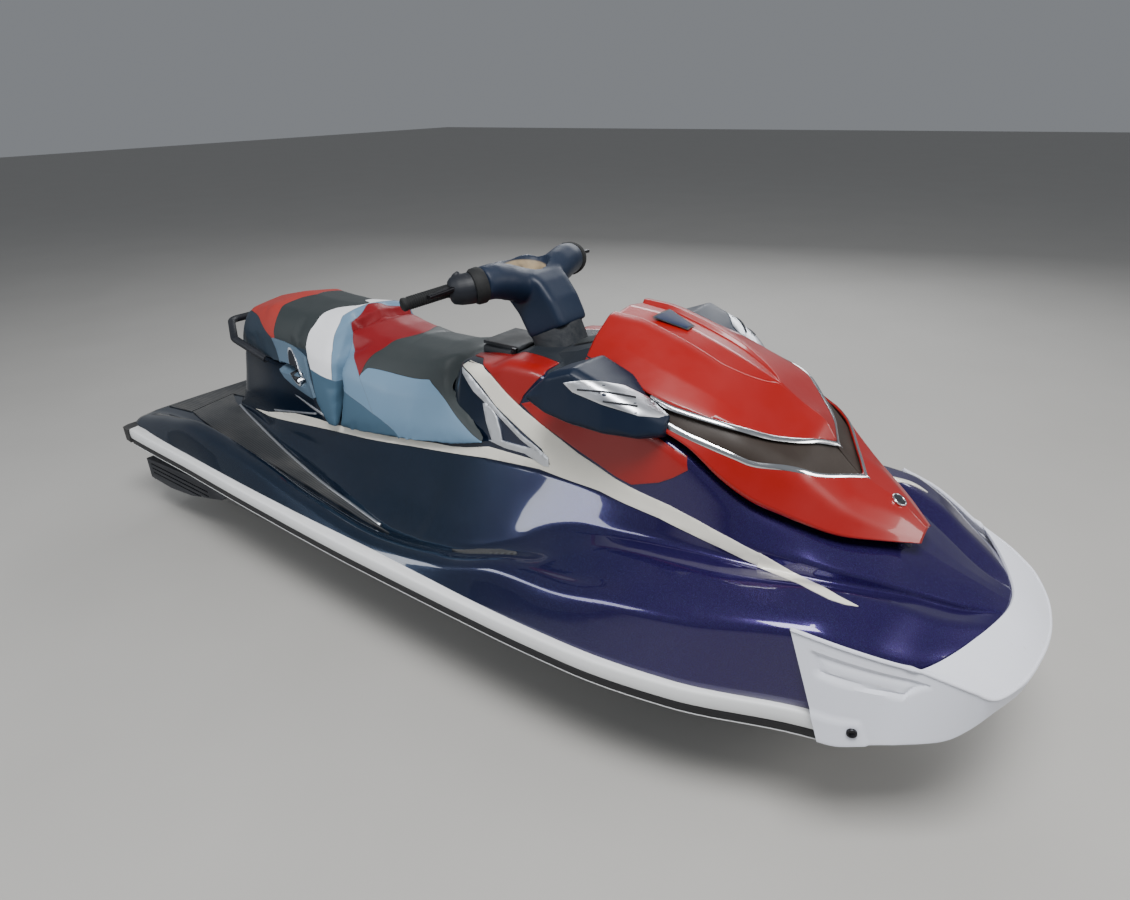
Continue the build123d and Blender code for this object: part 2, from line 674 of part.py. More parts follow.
reverse_gate.part.label = "reverse_gate"
export_step(reverse_gate.part, "parts/reverse_gate.step")

# Boarding step and its brackets
STEP_PIN_X = 34
STEP_PIN_Z = 186
STEP_PIN_R = 6
STEP_HALF = 205
STEP_BAR_R = 11
STEP_REACH = 112
with BuildPart() as step_brackets:
    for reach in (1, -1):
        with BuildSketch(Plane.XZ.offset(-reach * (STEP_HALF + 18))):
            with BuildLine():
                Polyline(
                    (ahead(TRANSOM_X), STEP_PIN_Z - 40), (ahead(TRANSOM_X), STEP_PIN_Z + 40),
                    (ahead(TRANSOM_X - 14), STEP_PIN_Z + 30), (ahead(STEP_PIN_X - 14), STEP_PIN_Z + 8),
                    (ahead(STEP_PIN_X - 14), STEP_PIN_Z - 8), (ahead(TRANSOM_X - 14), STEP_PIN_Z - 30),
                    close=True,
                )
            make_face()
        extrude(amount=-reach * 10)
        with BuildSketch(Plane.XZ.offset(-reach * (STEP_HALF - 14))):
            with Locations((ahead(STEP_PIN_X), STEP_PIN_Z)):
                Circle(STEP_PIN_R)
        extrude(amount=-reach * 40)
        with BuildSketch(Plane.YZ.offset(ahead(TRANSOM_X - 6))):
            with Locations((reach * (STEP_HALF + 23), STEP_PIN_Z)):
                Rectangle(44, 96)
        extrude(amount=6)
step_brackets.part.label = "step_brackets"
export_step(step_brackets.part, "parts/step_brackets.step")

with BuildPart() as boarding_step:
    with BuildLine():
        FilletPolyline(
            (ahead(STEP_PIN_X), -STEP_HALF, STEP_PIN_Z),
            (ahead(STEP_PIN_X), -STEP_HALF, STEP_PIN_Z + STEP_REACH),
            (ahead(STEP_PIN_X), STEP_HALF, STEP_PIN_Z + STEP_REACH),
            (ahead(STEP_PIN_X), STEP_HALF, STEP_PIN_Z),
            radius=30,
        )
    with BuildSketch(Plane(origin=(ahead(STEP_PIN_X), -STEP_HALF, STEP_PIN_Z), z_dir=(0, 0, 1))):
        Circle(STEP_BAR_R)
    sweep()
    for reach in (1, -1):
        with BuildSketch(Plane.XZ.offset(-reach * (STEP_HALF - 13))):
            with Locations((ahead(STEP_PIN_X), STEP_PIN_Z)):
                Circle(14)
        extrude(amount=-reach * 26)
    with BuildSketch(Plane.XZ.offset(-STEP_HALF - 30)):
        with Locations((ahead(STEP_PIN_X), STEP_PIN_Z)):
            Circle(STEP_PIN_R + PIN_FIT)
    extrude(amount=2 * STEP_HALF + 60, mode=Mode.SUBTRACT)
boarding_step.part.label = "boarding_step"
export_step(boarding_step.part, "parts/boarding_step.step")

# Steering base on the dash
BASE_SINK_H = -44
with BuildPart() as steering_base:
    with BuildSketch(STEER_PLANE.offset(BASE_SINK_H)):
        Circle(BASE_R)
    extrude(amount=BASE_TOP_H - BASE_SINK_H)
    with BuildSketch(STEER_PLANE.offset(BASE_SINK_H + 10)):
        Circle(STEM_R + PIN_FIT)
    extrude(amount=200, mode=Mode.SUBTRACT)
steering_base.part.label = "steering_base"
export_step(steering_base.part, "parts/steering_base.step")

# Handlebar core: the stem, the clamp and the bar
BAR_H = 200
BAR_FORE = 0
GRIP_H = 217
GRIP_FORE = -126
GRIP_START_Y = 270
GRIP_END_Y = 392
with BuildPart() as handlebar:
    with BuildSketch(STEER_PLANE.offset(BASE_SINK_H + 16)):
        Circle(STEM_R)
    extrude(amount=BAR_H - 22)
    with BuildLine():
        FilletPolyline(
            STEER_PLANE.from_local_coords((GRIP_FORE, -GRIP_END_Y, GRIP_H)),
            STEER_PLANE.from_local_coords((GRIP_FORE + 52, -GRIP_START_Y + 30, GRIP_H - 4)),
            STEER_PLANE.from_local_coords((BAR_FORE - 20, -60, BAR_H - 60)),
            STEER_PLANE.from_local_coords((BAR_FORE - 20, 60, BAR_H - 60)),
            STEER_PLANE.from_local_coords((GRIP_FORE + 52, GRIP_START_Y - 30, GRIP_H - 4)),
            STEER_PLANE.from_local_coords((GRIP_FORE, GRIP_END_Y, GRIP_H)),
            radius=40,
        )
    with BuildSketch(
        Plane(
            origin=STEER_PLANE.from_local_coords((GRIP_FORE, -GRIP_END_Y, GRIP_H)),
            z_dir=STEER_PLANE.from_local_coords((GRIP_FORE + 52, -GRIP_START_Y + 30, GRIP_H - 4))
            - STEER_PLANE.from_local_coords((GRIP_FORE, -GRIP_END_Y, GRIP_H)),
        )
    ):
        Circle(BAR_R)
    sweep()
handlebar.part.label = "handlebar"
export_step(handlebar.part, "parts/handlebar.step")
HANDLEBAR = handlebar.part

# Grips
GRIPS = {}
for side, sign in SIDES:
    grip_out = STEER_PLANE.from_local_coords((GRIP_FORE - 3, sign * (GRIP_END_Y + 8), GRIP_H))
    grip_in = STEER_PLANE.from_local_coords((GRIP_FORE + 46, sign * (GRIP_START_Y - 14), GRIP_H - 3))
    with BuildPart() as grip:
        with BuildSketch(Plane(origin=grip_out, z_dir=grip_in - grip_out)):
            Circle(GRIP_R)
        extrude(amount=abs(grip_in - grip_out))
        add(HANDLEBAR, mode=Mode.SUBTRACT)
    GRIPS[side] = grip.part
    grip.part.label = f"grip_{side}"
    export_step(grip.part, f"parts/grip_{side}.step")

# Steering pad over the clamp
Pad = namedtuple("Pad", "h fore aft half_front half_back")
PAD_LINES = [
    Pad(24, 80, -58, 66, 74),
    Pad(90, 80, -62, 68, 78),
    Pad(155, 72, -80, 72, 98),
    Pad(196, 62, -118, 80, 186),
    Pad(238, 50, -126, 76, 196),
    Pad(258, 28, -96, 56, 156),
]
with BuildPart() as steering_pad:
    for q in PAD_LINES:
        with BuildSketch(STEER_PLANE.offset(q.h)):
            with BuildLine():
                Polyline(
                    (q.fore, -q.half_front * 0.7), (q.fore, q.half_front * 0.7),
                    (q.fore - 24, q.half_front), (q.aft + 34, q.half_back), (q.aft, q.half_back * 0.86),
                    (q.aft, -q.half_back * 0.86), (q.aft + 34, -q.half_back), (q.fore - 24, -q.half_front),
                    close=True,
                )
            make_face()
    loft(ruled=True)
    add(HANDLEBAR, mode=Mode.SUBTRACT)
steering_pad.part.label = "steering_pad"
export_step(steering_pad.part, "parts/steering_pad.step")

# Hood pieces, cut from one shell by the trim line
ABOVE = 600


def trim_edge(grilles, offset):
    """Side view line at a number of grille heights and an offset below the upper hood."""
    return [(ahead(t.x), t.z - grilles * t.grille + offset) for t in TRIM_LINE]


UPPER_TOP = trim_edge(0, TRIM_BAND)
UPPER_LOW = trim_edge(0, 0)
LOWER_TOP = trim_edge(1, 0)
LOWER_LOW = trim_edge(1, -TRIM_BAND)
HoodPiece = namedtuple("HoodPiece", "name outlines")
HOOD_PIECES = [
    HoodPiece("hood_upper", [UPPER_TOP + trim_edge(0, ABOVE)[::-1]]),
    HoodPiece("hood_trims", [UPPER_LOW + UPPER_TOP[::-1], LOWER_LOW + LOWER_TOP[::-1]]),
    HoodPiece("hood_grille", [LOWER_TOP + UPPER_LOW[::-1]]),
]
with BuildPart() as hood_shell:
    add(HOOD_INSIDE)
    split(bisect_by=Plane.YZ.offset(ahead(HOOD_LINES[0].x + HOOD_WALL)), keep=Keep.TOP)
    split(bisect_by=Plane.YZ.offset(ahead(HOOD_LINES[-1].x - NOSE_WALL)), keep=Keep.BOTTOM)
HOOD_HOLLOW = hood_shell.part
with BuildPart() as hood_shell:
    add(HOOD)
    add(HOOD_HOLLOW, mode=Mode.SUBTRACT)
HOOD_SHELL = hood_shell.part
for piece in HOOD_PIECES:
    with BuildPart() as hood_piece:
        add(HOOD_SHELL)
        with BuildSketch(Plane.XZ):
            for outline in piece.outlines:
                with BuildLine():
                    Polyline(*outline, close=True)
                make_face()
        extrude(amount=400, both=True, mode=Mode.INTERSECT)
    hood_piece.part.label = piece.name
    export_step(hood_piece.part, f"parts/{piece.name}.step")

with BuildPart() as hood_nose:
    add(HOOD_SHELL)
    with BuildSketch(Plane.XZ):
        with BuildLine():
            Polyline(*LOWER_LOW, *trim_edge(0, ABOVE)[::-1], close=True)
        make_face()
    extrude(amount=400, both=True, mode=Mode.SUBTRACT)
hood_nose.part.label = "hood_nose"
export_step(hood_nose.part, "parts/hood_nose.step")

# Seats
for name, form in (("rear_seat", REAR_FORM), ("front_seat", FRONT_FORM)):
    with BuildPart() as seat:
        add(form)
        add(CORE, mode=Mode.SUBTRACT)
    seat.part.label = name
    export_step(seat.part, f"parts/{name}.step")

# Hood hinge: a pin between two ears on the deck, and a knuckle under the hood
HINGE_PIN_R = 5
EAR_Y = 22
EAR_SHEET = 8
KNUCKLE_HALF = 16
with BuildPart() as hood_hinge:
    for reach in (1, -1):
        with BuildSketch(Plane.XZ.offset(-reach * EAR_Y)):
            with BuildLine():
                Polyline(
                    (ahead(HINGE_X - 30), HINGE_Z - 50), (ahead(HINGE_X - 8), HINGE_Z + 8),
                    (ahead(HINGE_X + 7), HINGE_Z + 8), (ahead(HINGE_X + 7), HINGE_Z - 50), close=True,
                )
            make_face()
        extrude(amount=-reach * EAR_SHEET)
    with BuildSketch(Plane.XZ.offset(-EAR_Y - EAR_SHEET - 2)):
        with Locations((ahead(HINGE_X), HINGE_Z)):
            Circle(HINGE_PIN_R)
    extrude(amount=2 * (EAR_Y + EAR_SHEET + 2))
    add(DECK, mode=Mode.SUBTRACT)
hood_hinge.part.label = "hood_hinge"
export_step(hood_hinge.part, "parts/hood_hinge.step")

with BuildPart() as hood_knuckle:
    with BuildSketch(Plane.XZ.offset(-KNUCKLE_HALF)):
        with Locations((ahead(HINGE_X), HINGE_Z)):
            Circle(HINGE_PIN_R + 7)
        with BuildLine():
            Polyline(
                (ahead(HINGE_X - 12), HINGE_Z), (ahead(HINGE_X - 22), HINGE_Z + 56),
                (ahead(HINGE_X), HINGE_Z + 40), (ahead(HINGE_X + 12), HINGE_Z), close=True,
            )
        make_face()
        with Locations((ahead(HINGE_X), HINGE_Z)):
            Circle(HINGE_PIN_R + PIN_FIT, mode=Mode.SUBTRACT)
    extrude(amount=2 * KNUCKLE_HALF)
    add(HOOD_SHELL, mode=Mode.SUBTRACT)
hood_knuckle.part.label = "hood_knuckle"
export_step(hood_knuckle.part, "parts/hood_knuckle.step")

# Floor mats: skins over the deck, trimmed to plan outlines
Mat = namedtuple("Mat", "name points")
MATS = [
    Mat("footwell_mats", [
        (150, 120), (196, 330), (290, 350), (500, 385), (850, 404), (1200, 430),
        (1400, 446), (1530, 452), (1400, 430), (1100, 380), (820, 322), (400, 214), (260, 172),
    ]),
    Mat("toe_mats", [(1790, 440), (1860, 462), (1960, 462), (2040, 440), (2000, 424), (1880, 420)]),
]
PLATFORM_MAT = [(26, 344), (186, 330), (142, 118), (290, 100)]
for mat in MATS:
    with BuildPart() as floor_mat:
        add(BODY_SKIN)
        with BuildSketch(Plane.XY.offset(PARTING_Z)):
            with BuildLine():
                Polyline(*[(ahead(x), y) for x, y in mat.points], close=True)
            make_face()
            mirror(about=Plane.XZ)
        extrude(amount=400, mode=Mode.INTERSECT)
        add(BODY, mode=Mode.SUBTRACT)
        add(CORE, mode=Mode.SUBTRACT)
    floor_mat.part.label = mat.name
    export_step(floor_mat.part, f"parts/{mat.name}.step")
with BuildPart() as platform_mat:
    add(BODY_SKIN)
    with BuildSketch(Plane.XY.offset(PARTING_Z)):
        with BuildLine():
            Polyline(
                *[(ahead(x), y) for x, y in PLATFORM_MAT],
                *[(ahead(x), -y) for x, y in PLATFORM_MAT[::-1]], close=True,
            )
        make_face()
    extrude(amount=400, mode=Mode.INTERSECT)
    add(BODY, mode=Mode.SUBTRACT)
    add(CORE, mode=Mode.SUBTRACT)
platform_mat.part.label = "platform_mat"
export_step(platform_mat.part, "parts/platform_mat.step")

# Side panels and vent frames on the flanks of the pedestal: (x, z) outlines
Panel = namedtuple("Panel", "name outlines holes")
PANELS = [
    Panel("side_panels", [
        [(2030, 815), (2215, 688), (2400, 716), (2440, 740), (2462, 786), (2330, 842), (2200, 832)],
        [(1720, 850), (1850, 888), (1985, 888), (2010, 858), (1890, 790)],
    ], []),
    Panel("vent_frames", [
        [(1764, 816), (1800, 798), (2060, 648), (1788, 662)],
    ], [
        [(1790, 784), (1990, 668), (1803, 677)],
    ]),
]
FLANK_START_Y = 190
for panel in PANELS:
    with BuildPart() as flank:
        add(CORE_SKIN)
        with BuildSketch(Plane.XZ.offset(-FLANK_START_Y)):
            for outline in panel.outlines:
                with BuildLine():
                    Polyline(*[(ahead(x), z) for x, z in outline], close=True)
                make_face()
            for outline in panel.holes:
                with BuildLine():
                    Polyline(*[(ahead(x), z) for x, z in outline], close=True)
                make_face(mode=Mode.SUBTRACT)
        extrude(amount=-300, mode=Mode.INTERSECT)
        mirror(about=Plane.XZ)
        add(CORE, mode=Mode.SUBTRACT)
        add(BODY, mode=Mode.SUBTRACT)
        add(FRONT_FORM, mode=Mode.SUBTRACT)
    flank.part.label = panel.name
    export_step(flank.part, f"parts/{panel.name}.step")

# Mirror pods at the back corners of the hood
Pod = namedtuple("Pod", "x in_y out_y low_z high_z")
POD_LINES = [
    Pod(2020, 330, 362, 868, 894),
    Pod(2095, 250, 378, 852, 958),
    Pod(2170, 222, 382, 844, 986),
    Pod(2260, 222, 374, 838, 952),
    Pod(2340, 222, 350, 836, 912),
    Pod(2390, 222, 312, 840, 886),
]
with BuildPart() as mirror_pods:
    for q in POD_LINES:
        with BuildSketch(Plane.YZ.offset(ahead(q.x))):
            with BuildLine():
                Polyline(
                    (q.in_y, q.low_z), (q.out_y - 20, q.low_z), (q.out_y, q.low_z + 14),
                    (q.out_y - 12, q.high_z - 10), (q.out_y - 32, q.high_z), (q.in_y, q.high_z - 4),
                    close=True,
                )
            make_face()
    loft(ruled=True)
    mirror(about=Plane.XZ)
    add(HOOD, mode=Mode.SUBTRACT)
    add(HOOD_INSIDE, mode=Mode.SUBTRACT)
    add(CORE_CLEAR, mode=Mode.SUBTRACT)
mirror_pods.part.label = "mirror_pods"
export_step(mirror_pods.part, "parts/mirror_pods.step")

# Glove box lid, hinged along its front edge
LID_PIN_X = 1762
LID_PIN_Z = 882
LID_PIN_R = 4
with BuildPart() as glovebox_hinge:
    for reach in (1, -1):
        with BuildSketch(Plane.XZ.offset(-reach * 84)):
            with BuildLine():
                Polyline(
                    (ahead(LID_PIN_X - 10), LID_PIN_Z - 30), (ahead(LID_PIN_X - 8), LID_PIN_Z + 7),
                    (ahead(LID_PIN_X + 8), LID_PIN_Z + 7), (ahead(LID_PIN_X + 10), LID_PIN_Z - 30),
                    close=True,
                )
            make_face()
        extrude(amount=-reach * 8)
    with BuildSketch(Plane.XZ.offset(-94)):
        with Locations((ahead(LID_PIN_X), LID_PIN_Z)):
            Circle(LID_PIN_R)
    extrude(amount=188)
    add(DECK, mode=Mode.SUBTRACT)
glovebox_hinge.part.label = "glovebox_hinge"
export_step(glovebox_hinge.part, "parts/glovebox_hinge.step")

with BuildPart() as glovebox_lid:
    with BuildSketch(Plane.XZ.offset(-76)):
        with BuildLine():
            Polyline(
                (ahead(1630), LID_PIN_Z - 2), (ahead(1630), LID_PIN_Z + 8),
                (ahead(LID_PIN_X), LID_PIN_Z + 8),
                (ahead(LID_PIN_X), LID_PIN_Z - 2), close=True,
            )
        make_face()
        with Locations((ahead(LID_PIN_X), LID_PIN_Z)):
            Circle(8)
            Circle(LID_PIN_R + PIN_FIT, mode=Mode.SUBTRACT)
    extrude(amount=152)
glovebox_lid.part.label = "glovebox_lid"
export_step(glovebox_lid.part, "parts/glovebox_lid.step")

# Grab rail behind the seat
GRAB_R = 14
GRAB_POINTS = [(664, 230, 694), (474, 234, 742), (256, 112, 754)]
with BuildPart() as grab_rail:
    with BuildLine():
        FilletPolyline(
            *[(ahead(x), -y, z) for x, y, z in GRAB_POINTS],
            *[(ahead(x), y, z) for x, y, z in GRAB_POINTS[::-1]],
            radius=56,
        )
    with BuildSketch(Plane(origin=(ahead(664), -230, 694), z_dir=(-190, -4, 48))):
        Circle(GRAB_R)
    sweep()
    add(REAR_FORM, mode=Mode.SUBTRACT)
    add(CORE, mode=Mode.SUBTRACT)
grab_rail.part.label = "grab_rail"
export_step(grab_rail.part, "parts/grab_rail.step")

# Fittings let into the mouldings
BOW_EYE_X = 3012
BOW_EYE_Z = 176
with BuildPart() as bow_eye:
    with BuildSketch(Plane.XZ):
        with Locations((ahead(BOW_EYE_X), BOW_EYE_Z + 30)):
            Rectangle(36, 50)
        with Locations((ahead(BOW_EYE_X), BOW_EYE_Z)):
            Circle(24)
            Circle(15, mode=Mode.SUBTRACT)
    extrude(amount=5, both=True)
    add(BODY, mode=Mode.SUBTRACT)
bow_eye.part.label = "bow_eye"
export_step(bow_eye.part, "parts/bow_eye.step")

EYE_BORE_R = 12
EYE_RING = 7
EYE_SHEET = 9
STERN_EYE_X = TRANSOM_X - EYE_BORE_R - EYE_RING + 3
STERN_EYE_Y = 330
STERN_EYE_Z = 262
with BuildPart() as stern_eyes:
    for reach in (1, -1):
        with BuildSketch(Plane.XY.offset(STERN_EYE_Z)):
            with Locations((ahead(STERN_EYE_X), reach * STERN_EYE_Y)):
                Circle(EYE_BORE_R + EYE_RING)
                Circle(EYE_BORE_R, mode=Mode.SUBTRACT)
        extrude(amount=EYE_SHEET)
    add(hull.part, mode=Mode.SUBTRACT)
stern_eyes.part.label = "stern_eyes"
export_step(stern_eyes.part, "parts/stern_eyes.step")

with BuildPart() as drain_plugs:
    for reach in (1, -1):
        with BuildSketch(Plane.YZ.offset(ahead(TRANSOM_X - 14))):
            with Locations((reach * 290, 150)):
                Circle(20)
        extrude(amount=14)
drain_plugs.part.label = "drain_plugs"
export_step(drain_plugs.part, "parts/drain_plugs.step")

with BuildPart() as fuel_cap:
    with BuildSketch(Plane(origin=(ahead(2150), 425, 440), z_dir=(0, 0.3, 1))):
        Circle(48)
    extrude(amount=70)
    add(DECK, mode=Mode.SUBTRACT)
fuel_cap.part.label = "fuel_cap"
export_step(fuel_cap.part, "parts/fuel_cap.step")

# Dash with the instrument display, between the steering base and the hood
Dash = namedtuple("Dash", "x low_y top_y top_z crown_z")
DASH_LINES = [
    Dash(1946, 150, 110, 916, 926),
    Dash(2020, 204, 128, 938, 950),
    Dash(2096, 222, 132, 968, 984),
]
with BuildPart() as display:
    for d in DASH_LINES:
        with BuildSketch(Plane.YZ.offset(ahead(d.x))):
            with BuildLine():
                Polyline(
                    (0, 850), (d.low_y, 850), (d.low_y, 880), (d.top_y, d.top_z), (0, d.crown_z), close=True,
                )
            make_face()
    loft(ruled=True)
    mirror(about=Plane.XZ)
    add(CORE, mode=Mode.SUBTRACT)
    with BuildSketch(STEER_PLANE.offset(-80)):
        Circle(BASE_R)
    extrude(amount=200, mode=Mode.SUBTRACT)
display.part.label = "display"
export_step(display.part, "parts/display.step")

# Throttle and reverse levers
for side, sign in SIDES:
    with BuildPart() as lever:
        clamp_at = STEER_PLANE.from_local_coords((GRIP_FORE + 76, sign * 234, GRIP_H - 4))
        tip = STEER_PLANE.from_local_coords((GRIP_FORE + 62, sign * 360, GRIP_H - 8))
        with BuildSketch(Plane(origin=clamp_at, z_dir=tip - clamp_at)):
            RectangleRounded(30, 18, 5)
        with BuildSketch(Plane(origin=tip, z_dir=tip - clamp_at)):
            RectangleRounded(16, 10, 3)
        loft()
        add(HANDLEBAR, mode=Mode.SUBTRACT)
        add(steering_pad.part, mode=Mode.SUBTRACT)
        add(GRIPS[side], mode=Mode.SUBTRACT)
    lever.part.label = f"lever_{side}"
    export_step(lever.part, f"parts/lever_{side}.step")
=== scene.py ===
# %% [markdown]
# # A three-seat personal watercraft
# The craft is dressed here as a boat shop would finish it: gel-coated mouldings, a painted hood,
# sewn seat covers, rubber mats and bright trim. The solids come from the CAD source and stay
# fixed. This notebook lays the finished surfaces over them, one piece to a cell.

# %% Load the fixed frame
import math
import bmesh
import bpy
import numpy as np
from mathutils import Matrix, Vector
from mathutils.bvhtree import BVHTree


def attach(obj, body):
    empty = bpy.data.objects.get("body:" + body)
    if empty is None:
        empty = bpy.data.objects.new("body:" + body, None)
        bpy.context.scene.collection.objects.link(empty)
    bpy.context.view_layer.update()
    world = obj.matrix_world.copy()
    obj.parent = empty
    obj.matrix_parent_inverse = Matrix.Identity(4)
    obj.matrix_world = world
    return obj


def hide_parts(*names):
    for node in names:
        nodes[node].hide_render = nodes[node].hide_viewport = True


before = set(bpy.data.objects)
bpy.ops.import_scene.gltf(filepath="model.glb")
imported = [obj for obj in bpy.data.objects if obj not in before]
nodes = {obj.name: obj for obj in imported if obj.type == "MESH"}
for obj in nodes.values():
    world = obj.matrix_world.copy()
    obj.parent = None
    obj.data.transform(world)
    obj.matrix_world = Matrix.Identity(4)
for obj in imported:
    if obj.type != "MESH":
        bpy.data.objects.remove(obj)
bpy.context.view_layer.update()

# %% [markdown]
# The camera stands ahead of the craft on its starboard side, a little above head height, with a
# wide lens. A turn, a tilt and a small roll set its three axes directly, which is more exact than
# pointing it at a target.

# %% Camera
EYE = Vector((1.536, -1.673, 1.564))
HEADING, TILT, ROLL = 2.21985, -0.449193, -0.024704      # radians
SENSOR_MM, FOCAL_PX, PICTURE_PX = 36, 741.54, 1130
ahead_dir = Vector((math.cos(TILT) * math.cos(HEADING), math.cos(TILT) * math.sin(HEADING),
                    math.sin(TILT)))
level = ahead_dir.cross(Vector((0, 0, 1))).normalized()
upward = level.cross(ahead_dir)
right = math.cos(ROLL) * level + math.sin(ROLL) * upward
above = math.cos(ROLL) * upward - math.sin(ROLL) * level
camera = bpy.data.objects.new("camera", bpy.data.cameras.new("camera"))
camera.data.sensor_width = SENSOR_MM
camera.data.lens = SENSOR_MM * FOCAL_PX / PICTURE_PX
turn = Matrix((right, above, -ahead_dir)).transposed().to_4x4()
camera.matrix_world = Matrix.Translation(EYE) @ turn
bpy.context.scene.collection.objects.link(camera)
bpy.context.scene.camera = camera
print("lens", round(camera.data.lens, 2), "mm")

# %% [markdown]
# Lengths are written as the boat builder writes them: millimetres ahead of the stern. The lines of
# the hull are tables of a few stations. A smooth curve goes through each column without
# overshooting, so the skin stays fair between the stations.

# %% Lines and stations
HALF_LENGTH = 1607.0
PARTING_Z = 340          # where the deck meets the hull
SIDES = (("port", 1), ("starboard", -1))


def place(points):
    """Metres in the craft's frame, from millimetres ahead of the stern."""
    p = np.array(points, float)
    p[..., 0] -= HALF_LENGTH
    return p / 1000


def fair(xs, ys, x):
    """A cubic through the points that keeps their rises and falls."""
    xs, ys = np.asarray(xs, float), np.asarray(ys, float)
    x = np.clip(np.asarray(x, float), xs[0], xs[-1])
    step, rise = np.diff(xs), np.diff(ys)
    slope = rise / step
    tangent = np.empty_like(ys)
    tangent[0], tangent[-1] = slope[0], slope[-1]
    before, after = slope[:-1], slope[1:]
    w1, w2 = 2 * step[1:] + step[:-1], step[1:] + 2 * step[:-1]
    same = before * after > 0
    safe_b, safe_a = np.where(same, before, 1), np.where(same, after, 1)
    tangent[1:-1] = np.where(same, (w1 + w2) / (w1 / safe_b + w2 / safe_a), 0)
    i = np.clip(np.searchsorted(xs, x, side="right") - 1, 0, len(xs) - 2)
    t = (x - xs[i]) / step[i]
    return ((1 + 2 * t) * (1 - t) ** 2 * ys[i] + t * t * (3 - 2 * t) * ys[i + 1]
            + step[i] * (t * (1 - t) ** 2 * tangent[i] - t * t * (1 - t) * tangent[i + 1]))


class Lines:
    """A table of stations with named columns, read at any place along the craft."""

    def __init__(self, columns, rows):
        self.rows = np.array(rows, float)
        self.columns = {name: self.rows[:, i] for i, name in enumerate(columns.split())}
        self.x = self.rows[:, 0]

    def at(self, name, x):
        return float(fair(self.x, self.columns[name], x))


HULL = Lines(
    "x keel_z chine_y chine_z side_y shoulder_y shoulder_z rim_y rim_z out_y out_z in_y in_z", [
        (10, 0, 450, 168, 520, 466, 388, 425, 392, 385, 396, 240, 398),
        (250, 0, 458, 170, 530, 478, 436, 432, 440, 390, 404, 245, 406),
        (500, 0, 463, 170, 538, 490, 470, 440, 474, 398, 398, 255, 400),
        (850, 0, 468, 172, 552, 503, 442, 453, 444, 412, 378, 270, 380),
        (1200, 0, 470, 175, 562, 518, 402, 474, 399, 438, 362, 290, 364),
        (1500, 0, 468, 180, 569, 530, 384, 486, 380, 458, 352, 310, 354),
        (1800, 0, 460, 186, 570, 527, 408, 478, 410, 446, 386, 320, 394),
        (2050, 0, 445, 192, 569, 518, 472, 468, 482, 425, 463, 320, 500),
        (2300, 10, 412, 203, 560, 508, 498, 452, 520, 395, 552, 300, 514),
        (2550, 40, 352, 220, 520, 490, 522, 442, 548, 366, 574, 280, 516),
        (2800, 110, 255, 245, 432, 428, 552, 388, 572, 290, 586, 200, 518),
        (2900, 155, 205, 262, 402, 394, 526, 350, 548, 250, 574, 170, 520),
        (3000, 205, 150, 280, 335, 324, 488, 288, 508, 200, 536, 120, 546),
        (3110, 290, 62, 316, 215, 206, 470, 170, 488, 110, 504, 65, 511),
    ])
PEDESTAL = Lines(
    "x base_y base_z waist_y waist_z ledge_y ledge_z top_y top_z crown_z", [
        (300, 178, 380, 172, 406, 165, 432, 120, 470, 476),
        (385, 194, 380, 184, 412, 176, 446, 144, 676, 688),
        (650, 262, 370, 236, 412, 214, 462, 194, 682, 694),
        (870, 318, 352, 258, 408, 225, 476, 200, 676, 688),
        (1010, 348, 342, 275, 408, 232, 492, 186, 622, 634),
        (1250, 400, 330, 300, 408, 240, 520, 168, 610, 625),
        (1550, 448, 330, 338, 416, 250, 562, 175, 690, 702),
        (1620, 455, 335, 346, 420, 254, 576, 180, 830, 842),
        (1644, 456, 338, 350, 424, 256, 580, 188, 856, 868),
        (1750, 456, 345, 364, 436, 262, 598, 205, 862, 872),
        (1850, 450, 360, 372, 452, 268, 610, 216, 900, 908),
        (1950, 444, 380, 376, 474, 274, 622, 228, 906, 914),
        (2105, 410, 440, 352, 530, 288, 636, 240, 872, 878),
        (2180, 385, 460, 342, 548, 292, 638, 254, 864, 870),
        (2300, 350, 490, 332, 562, 302, 640, 282, 850, 856),
        (2400, 332, 510, 322, 572, 303, 640, 286, 824, 830),
        (2500, 314, 510, 308, 576, 300, 634, 280, 764, 770),
        (2600, 296, 510, 292, 574, 288, 622, 256, 698, 704),
        (2700, 266, 510, 264, 566, 260, 610, 216, 656, 662),
        (2780, 242, 510, 240, 560, 232, 598, 175, 624, 630),
        (2860, 202, 510, 200, 550, 195, 580, 110, 604, 610),
        (2930, 160, 510, 160, 540, 155, 558, 60, 570, 574),
        (3060, 84, 492, 82, 506, 78, 517, 30, 526, 529),
        (3110, 62, 480, 60, 508, 52, 511, 25, 512, 513),
    ])
HOOD = Lines(
    "x low_y low_z mid_y mid_z top_y top_z crown_z", [
        (2105, 244, 892, 214, 952, 100, 1044, 1056),
        (2180, 264, 884, 236, 944, 102, 1038, 1052),
        (2260, 280, 876, 252, 930, 102, 1018, 1032),
        (2340, 291, 862, 262, 914, 100, 992, 1006),
        (2440, 292, 832, 254, 892, 92, 948, 966),
        (2530, 283, 766, 240, 866, 84, 902, 920),
        (2600, 264, 722, 214, 826, 76, 856, 876),
        (2660, 238, 696, 186, 788, 64, 820, 842),
        (2697, 222, 682, 172, 758, 60, 776, 792),
        (2778, 178, 652, 142, 696, 84, 716, 722),
        (2860, 116, 636, 92, 655, 48, 674, 682),
        (2926, 46, 616, 36, 622, 20, 628, 632),
    ])
UPPER_EDGE = Lines(
    "x climb wide", [
        (2105, 759, 4), (2180, 722, 4), (2260, 690, 6), (2326, 664, 14), (2397, 649, 18), (2500, 655, 18),
        (2575, 680, 22), (2636, 726, 22), (2683, 781, 20), (2712, 812, 18),
    ])
